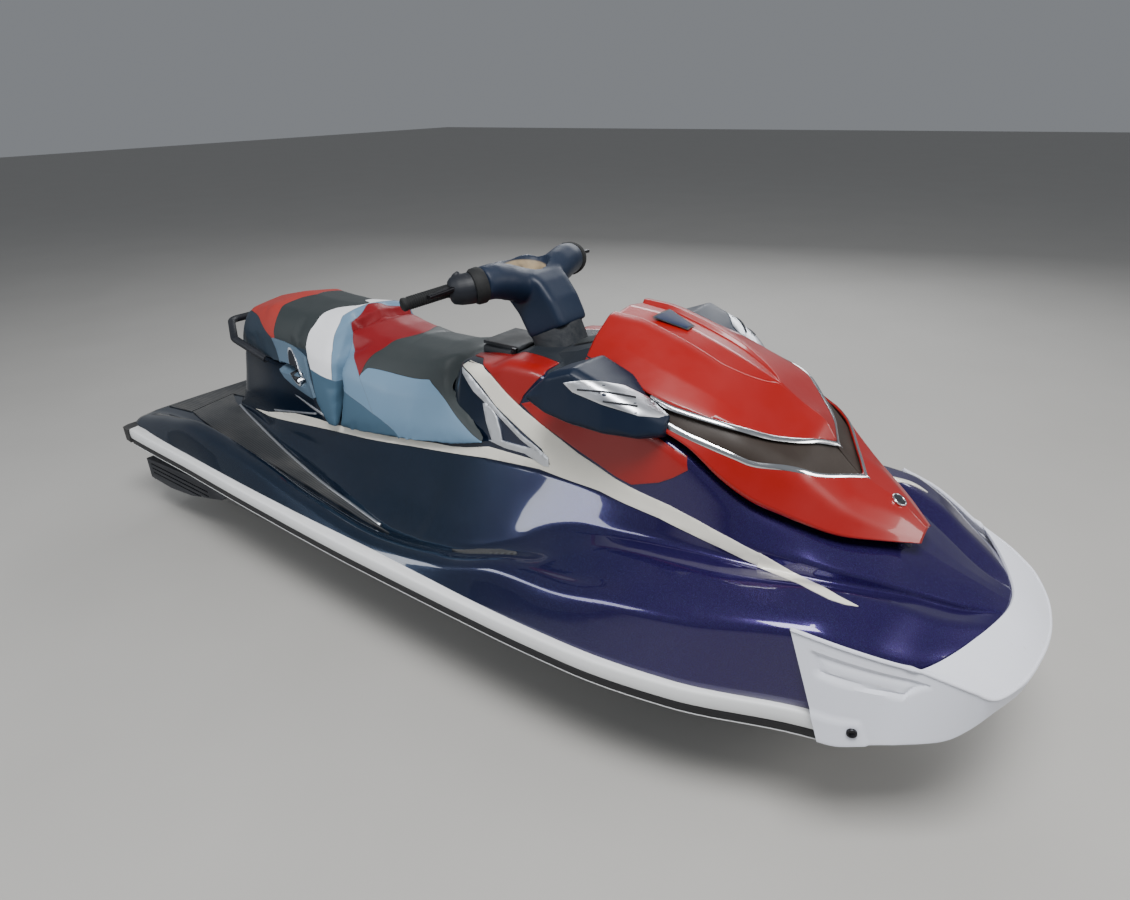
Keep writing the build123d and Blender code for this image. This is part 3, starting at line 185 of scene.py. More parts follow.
LOWER_EDGE = Lines(
    "x climb wide", [
        (2105, 753, 4), (2180, 716, 4), (2260, 680, 6), (2326, 622, 16), (2357, 604, 20), (2465, 577, 18),
        (2566, 570, 15), (2649, 610, 18), (2690, 634, 18), (2761, 719, 18), (2780, 742, 18),
    ])
print("stations", len(HULL.rows), len(PEDESTAL.rows), len(HOOD.rows))

# %% [markdown]
# A moulding has no sharp corners: glass cloth doesn't lie in them. So each half section is a short
# list of corners, each with the radius a mould maker would give it, and one function turns the
# corners into small curves with the same number of points at every station.

# %% Sections and skins
def rounded(corners, steps=5, between=1):
    """Points along a half section, given as (y, z, corner radius)."""
    pts = [np.array(c[:2], float) for c in corners]
    out = [pts[0]]
    for i in range(1, len(pts) - 1):
        a, p, b = pts[i - 1], pts[i], pts[i + 1]
        la, lb = np.linalg.norm(a - p) + 1e-9, np.linalg.norm(b - p) + 1e-9
        r = min(corners[i][2], 0.45 * la, 0.45 * lb)
        start, end = p + (a - p) * r / la, p + (b - p) * r / lb
        last = out[-1]
        for k in range(1, between):
            out.append(last + (start - last) * k / between)
        for k in range(steps):
            t = k / (steps - 1)
            out.append((1 - t) ** 2 * start + 2 * t * (1 - t) * p + t * t * end)
    last = out[-1]
    for k in range(1, between):
        out.append(last + (pts[-1] - last) * k / between)
    out.append(pts[-1])
    return np.array(out)


def skin(name, rows, close=False, caps=False):
    """A mesh object through rows of points that all have the same count."""
    rows = np.asarray(rows, float)
    count, width = rows.shape[:2]
    faces = []
    for i in range(count - 1):
        for k in range(width if close else width - 1):
            n = (k + 1) % width
            faces.append((i * width + k, i * width + n, (i + 1) * width + n, (i + 1) * width + k))
    if caps:
        faces.append(tuple(range(width))[::-1])
        faces.append(tuple((count - 1) * width + k for k in range(width)))
    return shape(name, rows.reshape(-1, 3), faces)


def shape(name, points, faces):
    """A smooth-shaded mesh object with doubled points joined and its faces turned outward."""
    mesh = bpy.data.meshes.new(name)
    mesh.from_pydata([tuple(map(float, p)) for p in points], [], faces)
    bm = bmesh.new()
    bm.from_mesh(mesh)
    bmesh.ops.remove_doubles(bm, verts=bm.verts, dist=2e-5)
    bmesh.ops.dissolve_degenerate(bm, edges=bm.edges, dist=1e-6)
    bmesh.ops.recalc_face_normals(bm, faces=bm.faces)
    for face in bm.faces:
        face.smooth = True
    bm.to_mesh(mesh)
    bm.free()
    obj = bpy.data.objects.new(name, mesh)
    bpy.context.scene.collection.objects.link(obj)
    return obj


def both_sides(half):
    """A whole section from its half: starboard edge, over the top, to the port edge."""
    half = np.asarray(half)
    return np.vstack([half * [-1, 1], half[::-1]])


def open_middle(obj):
    """Takes away the faces that would bridge an opening from one side of the craft to the other."""
    bm = bmesh.new()
    bm.from_mesh(obj.data)
    breadths = {face: [v.co.y for v in face.verts] for face in bm.faces}
    bridge = [face for face, ys in breadths.items() if min(ys) < -1e-4 and max(ys) > 1e-4]
    bmesh.ops.delete(bm, geom=bridge, context="FACES")
    bm.to_mesh(obj.data)
    bm.free()
    return obj


def at_station(x, section):
    return place(np.column_stack([np.full(len(section), float(x)), section]))


def finish_piece(obj, body, slot, materials, hides=()):
    """Gives a piece its materials, its body and the CAD nodes that it stands for."""
    for m in materials if isinstance(materials, (list, tuple)) else [materials]:
        obj.data.materials.append(m)
    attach(obj, body)
    if hides:
        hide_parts(*hides)
    return obj


def finish_all(pieces, body, slot, materials, hides=()):
    for piece in pieces:
        finish_piece(piece, body, slot, materials, hides)


def apply_modifiers(obj):
    """Bakes an object's modifiers into its mesh."""
    depsgraph = bpy.context.evaluated_depsgraph_get()
    mesh = bpy.data.meshes.new_from_object(obj.evaluated_get(depsgraph))
    obj.modifiers.clear()
    obj.data = mesh
    return obj


def crisp(obj, degrees=35):
    """Keeps edges sharper than an angle crisp in the shading, and the rest smooth."""
    obj.data.set_sharp_from_angle(angle=math.radians(degrees))
    return obj


def soften(obj, width, segments=2, angle=30):
    """A bevel on the edges of a hard-edged piece."""
    bevel = obj.modifiers.new("soft_edges", "BEVEL")
    bevel.width, bevel.segments, bevel.limit_method = width, segments, "ANGLE"
    bevel.angle_limit = math.radians(angle)
    bevel.harden_normals = False
    return obj


def thicken(obj, mm, **settings):
    """Gives a sheet its thickness, inward from its outer face."""
    solid = obj.modifiers.new("thickness", "SOLIDIFY")
    solid.thickness, solid.offset = mm / 1000, -1
    for key, value in settings.items():
        setattr(solid, key, value)
    return obj


def remesh(obj, voxel):
    """Lays a fine even net over an object."""
    net = obj.modifiers.new("remesh", "REMESH")
    net.mode, net.voxel_size, net.use_smooth_shade = "VOXEL", voxel, True
    return obj


def relax(obj, rounds):
    """Lets the points of an object settle between their neighbours."""
    ease = obj.modifiers.new("relax", "SMOOTH")
    ease.factor, ease.iterations = 0.5, rounds
    return obj

# %% [markdown]
# ## Finishes
# Each finish is built once and shared. The effects that several finishes need - dust that
# settles on faces that look up, grain, metal flake, scuffs - are node groups with named inputs,
# so a change to one is a change to all. The shader itself stays in each material.

# %% Building shader nodes
def feed(tree, socket, value):
    """Links a socket, or sets it to a number or colour."""
    if isinstance(value, bpy.types.NodeSocket):
        tree.links.new(value, socket)
    elif value is not None:
        is_colour = isinstance(value, tuple) and len(value) == 3
        socket.default_value = (*value, 1) if is_colour else value


def maths(tree, operation, *values, clamp=False):
    node = tree.nodes.new("ShaderNodeMath")
    node.operation, node.use_clamp = operation, clamp
    for socket, value in zip(node.inputs, values):
        feed(tree, socket, value)
    return node.outputs[0]


def times(tree, *masks, clamp=False):
    """The product of several masks."""
    out = masks[0]
    for mask in masks[1:]:
        out = maths(tree, "MULTIPLY", out, mask, clamp=clamp)
    return out


def mix_colours(tree, mask, first, second):
    node = tree.nodes.new("ShaderNodeMix")
    node.data_type = "RGBA"
    feed(tree, node.inputs["Factor"], mask)
    feed(tree, node.inputs[6], first)
    feed(tree, node.inputs[7], second)
    return node.outputs[2]


def remap(tree, value, low, high, to_low=0.0, to_high=1.0, smooth=False):
    node = tree.nodes.new("ShaderNodeMapRange")
    node.interpolation_type = "SMOOTHSTEP" if smooth else "LINEAR"
    for socket, v in zip(node.inputs, (value, low, high, to_low, to_high)):
        feed(tree, socket, v)
    return node.outputs[0]


def object_space(tree, scale=(1, 1, 1)):
    """Coordinates fixed to the piece, with an optional stretch."""
    coords = tree.nodes.new("ShaderNodeTexCoord").outputs["Object"]
    if scale == (1, 1, 1):
        return coords
    mapping = tree.nodes.new("ShaderNodeMapping")
    feed(tree, mapping.inputs["Vector"], coords)
    mapping.inputs["Scale"].default_value = scale
    return mapping.outputs[0]


def separate(tree, vector=None):
    """The X, Y and Z of a vector, or of the place on the piece."""
    node = tree.nodes.new("ShaderNodeSeparateXYZ")
    feed(tree, node.inputs[0], object_space(tree) if vector is None else vector)
    return node.outputs


def noise(tree, vector, scale, detail=3.0, roughness=0.5):
    node = tree.nodes.new("ShaderNodeTexNoise")
    feed(tree, node.inputs["Vector"], vector)
    feed(tree, node.inputs["Scale"], scale)
    node.inputs["Detail"].default_value = detail
    node.inputs["Roughness"].default_value = roughness
    return node.outputs["Fac"]


def group(name, inputs, outputs):
    """A shader node group with its sockets; returns the tree and its input and output nodes."""
    tree = bpy.data.node_groups.new(name, "ShaderNodeTree")
    for label, kind, default in inputs:
        socket = tree.interface.new_socket(label, in_out="INPUT", socket_type=kind)
        socket.default_value = default
    for label, kind in outputs:
        tree.interface.new_socket(label, in_out="OUTPUT", socket_type=kind)
    return tree, tree.nodes.new("NodeGroupInput").outputs, tree.nodes.new("NodeGroupOutput").inputs


FLOAT, COLOUR = "NodeSocketFloat", "NodeSocketColor"

# %% [markdown]
# Dust lies in broad soft patches on the faces that look up, with fine specks in it. It lightens
# the colour and dulls the gloss.

# %% Node group: settled dust
dust_group, gi, go = group(
    "settled_dust",
    [("Color", COLOUR, (0.5, 0.5, 0.5, 1)), ("Roughness", FLOAT, 0.3), ("Amount", FLOAT, 0.3),
     ("Dust", COLOUR, (0.55, 0.52, 0.46, 1))],
    [("Color", COLOUR), ("Roughness", FLOAT)])
patches = noise(dust_group, object_space(dust_group, (0.6, 1, 1)), 5.0, 5.0, 0.6)
specks = noise(dust_group, object_space(dust_group), 340.0, 2.0)
facing = separate(dust_group, dust_group.nodes.new("ShaderNodeNewGeometry").outputs["Normal"])["Z"]
cover = times(dust_group, remap(dust_group, patches, 0.42, 0.72), remap(dust_group, facing, 0.1, 0.95),
              remap(dust_group, specks, 0.35, 0.65, 0.4, 1.0), gi["Amount"], clamp=True)
feed(dust_group, go["Color"], mix_colours(dust_group, cover, gi["Color"], gi["Dust"]))
duller = maths(dust_group, "ADD", gi["Roughness"], times(dust_group, cover, 0.45), clamp=True)
feed(dust_group, go["Roughness"], duller)
print("group", dust_group.name)

# %% [markdown]
# Metal-flake gel coat: tiny flat flakes, each tipped its own way, so some catch the light. A fine
# cell pattern gives every flake its own brightness.

# %% Node group: metal flake
flake_group, gi, go = group(
    "metal_flake",
    [("Color", COLOUR, (0.01, 0.01, 0.05, 1)), ("Flake", COLOUR, (0.2, 0.2, 0.5, 1)),
     ("Amount", FLOAT, 0.5), ("Scale", FLOAT, 900.0)],
    [("Color", COLOUR), ("Metallic", FLOAT)])
cells = flake_group.nodes.new("ShaderNodeTexVoronoi")
feed(flake_group, cells.inputs["Vector"], object_space(flake_group))
feed(flake_group, cells.inputs["Scale"], gi["Scale"])
tone = flake_group.nodes.new("ShaderNodeSeparateColor")
feed(flake_group, tone.inputs[0], cells.outputs["Color"])
bright = remap(flake_group, tone.outputs["Red"], 0.55, 1.0)
clouds = noise(flake_group, object_space(flake_group), 3.0, 4.0)
mask = times(flake_group, bright, gi["Amount"], remap(flake_group, clouds, 0.3, 0.7, 0.6, 1.0))
feed(flake_group, go["Color"], mix_colours(flake_group, mask, gi["Color"], gi["Flake"]))
feed(flake_group, go["Metallic"], remap(flake_group, tone.outputs["Green"], 0.0, 1.0, 0.25, 0.75))
print("group", flake_group.name)

# %% [markdown]
# Grain: the pebbled skin of vinyl and moulded plastic, as a height for a Bump node.

# %% Node group: pebble grain
grain_group, gi, go = group(
    "pebble_grain", [("Scale", FLOAT, 700.0), ("Coarse", FLOAT, 0.3)], [("Height", FLOAT)])
pebbles = grain_group.nodes.new("ShaderNodeTexVoronoi")
pebbles.feature = "SMOOTH_F1"
feed(grain_group, pebbles.inputs["Vector"], object_space(grain_group))
feed(grain_group, pebbles.inputs["Scale"], gi["Scale"])
waves = noise(grain_group, object_space(grain_group), 60.0, 4.0)
coarse = times(grain_group, waves, gi["Coarse"])
feed(grain_group, go["Height"], maths(grain_group, "ADD", pebbles.outputs["Distance"], coarse))
print("group", grain_group.name)

# %% [markdown]
# Wear: long fine scratches along the craft, and rubbed edges where a corner stands out. The
# Pointiness of the geometry finds the corners.

# %% Node group: scuffs and rubbed edges
wear_group, gi, go = group(
    "scuffs",
    [("Color", COLOUR, (0.8, 0.8, 0.8, 1)), ("Mark", COLOUR, (0.2, 0.2, 0.2, 1)),
     ("Roughness", FLOAT, 0.4), ("Scratches", FLOAT, 0.3), ("Edges", FLOAT, 0.3)],
    [("Color", COLOUR), ("Roughness", FLOAT), ("Height", FLOAT)])
streaks = noise(wear_group, object_space(wear_group, (0.12, 1, 1)), 90.0, 6.0, 0.7)
broad = noise(wear_group, object_space(wear_group), 7.0, 4.0, 0.6)
scratch = times(wear_group, remap(wear_group, streaks, 0.60, 0.72), remap(wear_group, broad, 0.45, 0.65),
                gi["Scratches"], clamp=True)
point = wear_group.nodes.new("ShaderNodeNewGeometry").outputs["Pointiness"]
edge = times(wear_group, remap(wear_group, point, 0.52, 0.60), gi["Edges"],
             remap(wear_group, streaks, 0.35, 0.6), clamp=True)
mark = maths(wear_group, "MAXIMUM", scratch, edge)
feed(wear_group, go["Color"], mix_colours(wear_group, mark, gi["Color"], gi["Mark"]))
uneven = maths(wear_group, "ADD", gi["Roughness"], remap(wear_group, broad, 0.3, 0.7, -0.06, 0.10))
duller = maths(wear_group, "ADD", uneven, times(wear_group, mark, 0.25), clamp=True)
feed(wear_group, go["Roughness"], duller)
feed(wear_group, go["Height"], maths(wear_group, "SUBTRACT", 1.0, scratch))
print("group", wear_group.name)

# %% [markdown]
# A small maker for materials: it places the Principled shader, and the groups are added by name
# with each finish's own values.

# %% Starting a material
def finish(name, **constants):
    """A new material with a Principled shader whose constant values are set on its own sockets."""
    material = bpy.data.materials.new(name)
    material.use_nodes = True
    tree = material.node_tree
    shader = tree.nodes["Principled BSDF"]
    for key, value in constants.items():
        shader.inputs[key.replace("_", " ")].default_value = value
    return material, tree, shader


def use(tree, source, **values):
    """Places a node group and feeds its named inputs."""
    node = tree.nodes.new("ShaderNodeGroup")
    node.node_tree = source
    for key, value in values.items():
        feed(tree, node.inputs[key], value)
    return node.outputs


def bump(tree, height, strength, distance, shader):
    node = tree.nodes.new("ShaderNodeBump")
    node.inputs["Strength"].default_value = strength
    node.inputs["Distance"].default_value = distance
    feed(tree, node.inputs["Height"], height)
    feed(tree, shader.inputs["Normal"], node.outputs[0])


def dress(tree, shader, colour, roughness, mark=None, scratches=0.0, edges=0.0, dust=None):
    """Takes a colour through the wear and the dust of a finish, and on to the shader."""
    if mark is not None:
        worn = use(tree, wear_group, Color=colour, Mark=mark, Roughness=roughness,
                   Scratches=scratches, Edges=edges)
        colour, roughness = worn["Color"], worn["Roughness"]
    if dust is not None:
        dusty = use(tree, dust_group, Color=colour, Roughness=roughness, Amount=dust)
        colour, roughness = dusty["Color"], dusty["Roughness"]
    feed(tree, shader.inputs["Base Color"], colour)
    feed(tree, shader.inputs["Roughness"], roughness)


def gelcoat(name, colour, flake, bow=None, matt_aft=False):
    """Flaked gel coat under a clear coat, with orange peel and a little dust."""
    coat, gloss = 0.9, 0.2
    material, tree, shader = finish(name, Coat_Weight=coat, Coat_Roughness=0.04, IOR=1.5,
                                    Specular_IOR_Level=gloss)
    if bow:
        toward_bow = remap(tree, separate(tree)["X"], 0.0, 1.1, smooth=True)
        colour = mix_colours(tree, toward_bow, colour, bow)
    flakes = use(tree, flake_group, Color=colour, Flake=flake, Amount=0.35, Scale=1100.0)
    dress(tree, shader, flakes["Color"], 0.22, dust=0.02)
    feed(tree, shader.inputs["Metallic"], flakes["Metallic"])
    if matt_aft:      # the box under the rear seat is rubbed dull by feet
        where = separate(tree)
        dull = times(tree, remap(tree, where["Z"], 0.46, 0.50), remap(tree, where["X"], -0.66, -0.72))
        feed(tree, shader.inputs["Coat Weight"], remap(tree, dull, 0, 1, coat, 0.0))
        feed(tree, shader.inputs["Specular IOR Level"], remap(tree, dull, 0, 1, gloss, 0.15))
    bump(tree, noise(tree, object_space(tree), 260.0, 2.0), 0.06, 0.0006, shader)
    return material


def paint(name, colour, mark, roughness, dust=0.01, scratches=0.06, coat=0.7):
    """Plain glossy paint with fine scratches, rubbed edges and dust."""
    material, tree, shader = finish(name, Coat_Weight=coat, Coat_Roughness=0.06)
    dress(tree, shader, colour, roughness, mark, scratches, 0.2, dust)
    bump(tree, noise(tree, object_space(tree), 240.0, 2.0), 0.05, 0.0006, shader)
    return material


def moulded(name, colour, mark, roughness=0.5, grain=900.0, depth=0.0003, dust=0.06, scratches=0.2,
            edges=0.3):
    """Moulded plastic or rubber: pebble grain, scuffs and dust."""
    material, tree, shader = finish(name, Specular_IOR_Level=0.32)
    dress(tree, shader, colour, roughness, mark, scratches, edges, dust)
    bump(tree, use(tree, grain_group, Scale=grain, Coarse=0.4)["Height"], 0.35, depth, shader)
    return material


def metal(name, colour, roughness, mark=(0.05, 0.05, 0.05), scratches=0.4, cast=0.0):
    """Bare metal with brush marks and stains, or a cast skin."""
    material, tree, shader = finish(name, Metallic=1.0)
    dress(tree, shader, colour, roughness, mark, scratches, 0.1)
    height = noise(tree, object_space(tree), 420.0 if cast else 900.0, 3.0)
    bump(tree, height, 0.5 if cast else 0.08, cast or 0.0002, shader)
    return material


# %% The finishes of this craft
navy_gel = gelcoat("deck_navy_gel", (0.003, 0.011, 0.026), (0.05, 0.09, 0.18),
                   bow=(0.018, 0.006, 0.078), matt_aft=True)
# The hull's gel coat is the deck's, darkened: painted shade for the hull under the rub rail.
hull_gel = gelcoat("hull_navy_gel_painted_shade", (0.003, 0.006, 0.014), (0.04, 0.06, 0.12))
red_paint = paint("hood_red", (0.27, 0.002, 0.001), (0.14, 0.010, 0.008), 0.34, coat=0.35)
cream_paint = paint("stripe_cream", (0.78, 0.75, 0.66), (0.45, 0.42, 0.36), 0.35, 0.25, 0.3, 0.6)
# name, colour, colour of the marks, roughness, grain, its depth, dust, scratches, rubbed edges
PLASTICS = [
    ("rail_white_plastic", (0.78, 0.79, 0.80), (0.35, 0.33, 0.30), 0.42, 500.0, 0.0002, 0.15, 0.5, 0.4),
    ("rail_black_rubber", (0.016, 0.016, 0.018), (0.10, 0.10, 0.10), 0.55, 700.0),
    ("bumper_plastic", (0.74, 0.76, 0.84), (0.40, 0.33, 0.25), 0.48, 420.0, 0.0003, 0.15, 0.3, 0.2),
    ("sponson_black", (0.020, 0.022, 0.028), (0.12, 0.12, 0.13), 0.6),
    ("dash_black", (0.009, 0.011, 0.016), (0.07, 0.07, 0.08), 0.5, 800.0, 0.0003, 0.03),
    ("dash_plastic", (0.014, 0.018, 0.024), (0.08, 0.08, 0.08), 0.5, 700.0, 0.0003, 0.05),
    ("column_navy_plastic", (0.006, 0.014, 0.034), (0.07, 0.09, 0.12), 0.45, 520.0, 0.0004, 0.04, 0.25, 0.4),
    ("grip_rubber", (0.007, 0.008, 0.009), (0.05, 0.05, 0.05), 0.7, 900.0, 0.0004, 0.02),
    ("grille_brown_black", (0.028, 0.020, 0.016), (0.10, 0.08, 0.06), 0.5),
    ("hood_liner_black", (0.02, 0.02, 0.024), (0.09, 0.09, 0.09), 0.6),
    ("pod_navy_plastic", (0.003, 0.009, 0.024), (0.04, 0.05, 0.08), 0.42, 700.0, 0.0002, 0.01, 0.1, 0.0),
    ("side_pad_blue", (0.085, 0.135, 0.190), (0.20, 0.22, 0.24), 0.5, 600.0),
    ("welt_grey_blue", (0.10, 0.16, 0.23), (0.3, 0.3, 0.3), 0.55),
    ("welt_black", (0.015, 0.018, 0.020), (0.1, 0.1, 0.1), 0.55),
]
(white_rail, black_rubber, bumper_white, sponson_black, dash_black, dash_plastic, pad_navy, grip_rubber,
 grille_black, liner, pod_navy, pad_vinyl, welt_blue, welt_black) = (moulded(*row) for row in PLASTICS)
# name, colour, roughness, colour of the marks, scratches, depth of a cast skin
METALS = [
    ("bright_trim", (0.78, 0.80, 0.83), 0.16, (0.35, 0.34, 0.32), 0.5),
    ("stainless_steel", (0.62, 0.62, 0.62), 0.24),
    ("stainless_sheet", (0.55, 0.56, 0.58), 0.30, (0.2, 0.2, 0.2), 0.6),
    ("impeller_steel", (0.60, 0.58, 0.54), 0.22, (0.15, 0.13, 0.10), 0.5),
    ("cast_aluminium", (0.42, 0.43, 0.45), 0.48, (0.10, 0.10, 0.10), 0.5, 0.0008),
    ("black_tube", (0.03, 0.03, 0.035), 0.35, (0.3, 0.3, 0.3), 0.3),
    # silver_paint_trim_and_highlight serves real trim (vent bars, pod insets, oval rims) and also painted
    # highlights (the V bars and the well ridges)
    ("silver_paint_trim_and_highlight", (0.76, 0.78, 0.82), 0.36, (0.55, 0.56, 0.58), 0.12),
]
(bright_trim, steel, sheet_steel, impeller_steel, cast_metal, anodised,
 silver_trim_and_highlight) = (metal(*row) for row in METALS)
print("materials", len(bpy.data.materials))

# %% [markdown]
# ## The deck and the seat pedestal
# On the real craft the deck is one moulding, from the rub rail over the shoulder, down into the
# foot well and up the pedestal to the seat. A skin through rounded sections gives it the long
# reflections that a faceted solid can't. Forward, the foot well closes and its floor rises into
# the bow deck.

# %% Deck section
def crossing(a, b, line):
    """Where the run from a to b first meets a polyline, both as (y, z)."""
    for k in range(60):
        t = k / 59
        y, z = a[0] + (b[0] - a[0]) * t, a[1] + (b[1] - a[1]) * t
        floor = np.interp(y, [p[0] for p in line][::-1], [p[1] for p in line][::-1])
        if z >= floor:
            return y, floor
    return b


PLATFORM_END = 300               # the seat pedestal starts here
BOW_FROM, BOW_RUN = 1930, 220    # the foot well closes over this run
POCKETS = [(2330, 2680, 165, 518), (1648, 1742, 78, 762)]     # from, to, half width, floor


def deck_corners(x, pockets=False):
    """Corners (y, z, radius) of the half section at x, from the rub rail up to the crown."""
    h = lambda name: HULL.at(name, x)
    floor = [(h("out_y"), h("out_z")), (h("in_y"), h("in_z")), (0, h("in_z"))]
    corners = [(h("side_y"), PARTING_Z, 0), (h("shoulder_y"), h("shoulder_z"), 30),
               (h("rim_y"), h("rim_z"), 16), (*floor[0], 26)]
    if x < PLATFORM_END:
        (out_y, out_z), (in_y, in_z) = floor[:2]
        level = lambda y: float(np.interp(y, [0, in_y, out_y], [in_z, in_z, out_z]))
        outward = (182, 170, 160, 120) + ((80, 40) if pockets else ())
        return corners + [(y, level(y), 8) for y in outward] + [(0, in_z, 0)]
    c = lambda name: PEDESTAL.at(name, x)
    waist = (c("waist_y"), c("waist_z"))
    foot = crossing((c("base_y"), c("base_z")), waist, floor)
    bow = np.clip((x - BOW_FROM) / BOW_RUN, 0, 1)
    bow = bow * bow * (3 - 2 * bow)
    middle = ((waist[0] + floor[0][0]) / 2, (waist[1] + floor[0][1]) / 2)
    foot = (foot[0] + (middle[0] - foot[0]) * bow, foot[1] + (middle[1] - foot[1]) * bow)
    corners += [(*foot, 30), (*waist, 45), (c("ledge_y"), c("ledge_z"), 9),
                (c("top_y"), c("top_z"), 24)]
    if not pockets:
        return corners + [(0, c("crown_z"), 0)]
    half, floor_level = c("top_y") * 0.6, None
    for start, end, pocket_half, level in POCKETS:
        if start < x < end:
            half, floor_level = pocket_half, level
    lip = c("crown_z") + (c("top_z") - c("crown_z")) * half / c("top_y")
    if floor_level is None:
        middle_z = (lip + c("crown_z")) / 2
        return corners + [(half, lip, 3), (half / 2, middle_z, 3), (0, c("crown_z"), 0)]
    return corners + [(half, lip, 3), (half, floor_level, 8), (0, floor_level, 0)]


DISH = (2205, 470, 512)          # middle of the hollow swirl ahead of the foot well
DISH_RUN = (120, 52, 60)         # how far it reaches, fore and aft, across, and up and down
DISH_DEPTH = 23


def deck_half(x):
    """Dense half section (y, z) with the swirl pressed into it."""
    section = rounded(deck_corners(x, True), 5, 4)
    y, z = section[:, 0], section[:, 1]
    far = sum(((value - middle) / run) ** 2 for value, middle, run in zip((x, y, z), DISH, DISH_RUN))
    depth = DISH_DEPTH * np.exp(-far)
    return np.column_stack([y - depth * 0.55, z - depth * 0.8])


def side_y(x, z):
    """Breadth of the pedestal or bow deck at a height, outside the foot well."""
    section = rounded(deck_corners(x)[4:], 5, 4)
    return float(np.interp(z, section[:, 1], section[:, 0]))


def floor_z(x, y):
    """Height of the foot well floor or the side deck at a breadth."""
    section = rounded(deck_corners(x)[1:7], 5, 3)
    return float(np.interp(y, section[::-1, 0], section[::-1, 1]))


# %% Deck skin
edges = [x + d for start, end, _, _ in POCKETS for x in (start, end) for d in (-0.2, 0.2)]
stations = sorted([*np.linspace(10, 299.5, 16), *np.linspace(300, 385, 6), *np.linspace(400, 2329, 96),
                   *np.linspace(2345, 2665, 17), *np.linspace(2700, 3110, 30), *edges])
rows = []
for x in stations:
    section = both_sides(deck_half(x))
    rows.append(at_station(x, section))
for x, share, drop in ((3116, 0.93, 1), (3122, 0.78, 3), (3128, 0.60, 12)):      # the tip, under the guard
    rows.append(at_station(x, section * (share, 1) - (0, drop)))
deck_skin = skin("deck_skin", rows, close=True, caps=True)
finish_piece(deck_skin, "hull_body", "deck_gel", navy_gel,
             ("deck", "side_decks", "pedestal", "bow_deck", "tub_walls"))
print("deck", len(deck_skin.data.polygons), "faces")

# %% [markdown]
# ## The hull
# Below the rub rail the hull is a V with a flat keel, a lift strake and a hard chine. The jet
# tunnel and the intake are part of the same section, so no cutting is needed: at the stern the
# section climbs into the tunnel, and ahead of it the roof runs down to the keel.

# %% Hull section
# Shares of the chine's half breadth
STRAKE_IN, STRAKE_OUT, CHINE_IN, KEEL_FLAT = 0.50, 0.545, 0.93, 0.07
TRANSOM_X = 60           # back of the hull, under the overhanging platform
TUNNEL_END, INTAKE_END = 640, 1040


def hull_half(x, tunnel_half, tunnel_roof):
    h = lambda name: HULL.at(name, x)
    chine_y, chine_z, keel_z = h("chine_y"), h("chine_z"), h("keel_z")
    strake_z = keel_z + (chine_z - keel_z) * STRAKE_IN
    bottom = [(0, keel_z), (chine_y * KEEL_FLAT, keel_z), (chine_y * STRAKE_IN, strake_z)]
    edge_z = float(np.interp(tunnel_half, [p[0] for p in bottom], [p[1] for p in bottom]))
    roof = max(tunnel_roof, edge_z)
    run = [(max(tunnel_half, y), max(z, edge_z)) for y, z in bottom[1:]]
    corners = [(0, roof, 0), (tunnel_half, roof, 18), (tunnel_half, edge_z, 3), (*run[0], 6), (*run[1], 2),
               (chine_y * STRAKE_OUT, strake_z, 4), (chine_y * CHINE_IN, chine_z - 3, 4),
               (chine_y, chine_z, 5), (h("side_y"), PARTING_Z, 0)]
    return rounded(corners, 3, 2)


# %% Hull skin
def tunnel_at(x):
    """Half width and roof height of the jet tunnel and the intake."""
    if x <= TUNNEL_END:
        return 150, 324
    if x <= INTAKE_END:
        return 76, float(np.interp(x, [TUNNEL_END, 780, 940, INTAKE_END], [192, 190, 92, 0]))
    return 1, 0


steps = {TUNNEL_END - 0.5, TUNNEL_END + 0.5, INTAKE_END, INTAKE_END + 1}
places = sorted({*steps, *np.linspace(TRANSOM_X, 3110, 110)})
rows = [at_station(x, both_sides(hull_half(x, *tunnel_at(x))[::-1])) for x in places]
hull_skin = crisp(skin("hull_skin", rows, caps=True), 28)
finish_piece(hull_skin, "hull_body", "hull_gel", hull_gel, ("hull",))
print("hull", len(hull_skin.data.polygons), "faces")

# %% [markdown]
# ## Rub rails
# A soft white band takes the knocks along the widest line of the craft, with a black band under
# it and a thin white pin line. Each is one strip whose section is swept along the side.

# %% Rub rails
RAIL_END = 2858


def rail_drop(x):
    return 9 * min(1, max(0, (x - 500) / 700))


def rail_strip(name, low, high, out, bulge):
    """A band along each side between two heights, standing out past the hull."""
    strips = []
    for word, side in SIDES:
        rows = []
        for x in np.linspace(TRANSOM_X, RAIL_END, 90):
            base, drop = HULL.at("side_y", x), rail_drop(x)
            z0, z1 = low - drop, high - drop
            face = base + out - 3
            corners = [(base - 24, z0, 0), (face, z0, 4), (face + bulge, (z0 + z1) / 2, 20),
                       (face, z1, 6), (base - 24, z1 + 2, 0)]
            rows.append(at_station(x, rounded(corners, 4, 1) * [side, 1]))
        strips.append(crisp(skin(f"{name}_{word}", rows, close=True, caps=True), 50))
    return strips


# name, lower and upper height, reach past the side, bulge, slot, material, nodes replaced
RAILS = [("rail_white", 329, 371, 16, 3.0, "white_rail", white_rail, ("rail_white",)),
         ("rail_black", 305, 329, 15, 1.0, "black_rail", black_rubber, ("rail_black",)),
         ("pin_line", 302, 305, 14, 0.5, "white_rail", white_rail, ())]
for *form, slot, material, hides in RAILS:
    finish_all(rail_strip(*form), "hull_body", slot, material, hides)
print("rails to", RAIL_END, "mm ahead of the stern")

# %% [markdown]
# ## Bow bumper
# A moulded guard wraps the bow: a flat band on top that widens to the stem, a straight crest, and
# a deep side plate with a recessed panel. Three space curves are its inner edge, its crest and its
# foot, and the plate is the sheet between them, thickened inward.

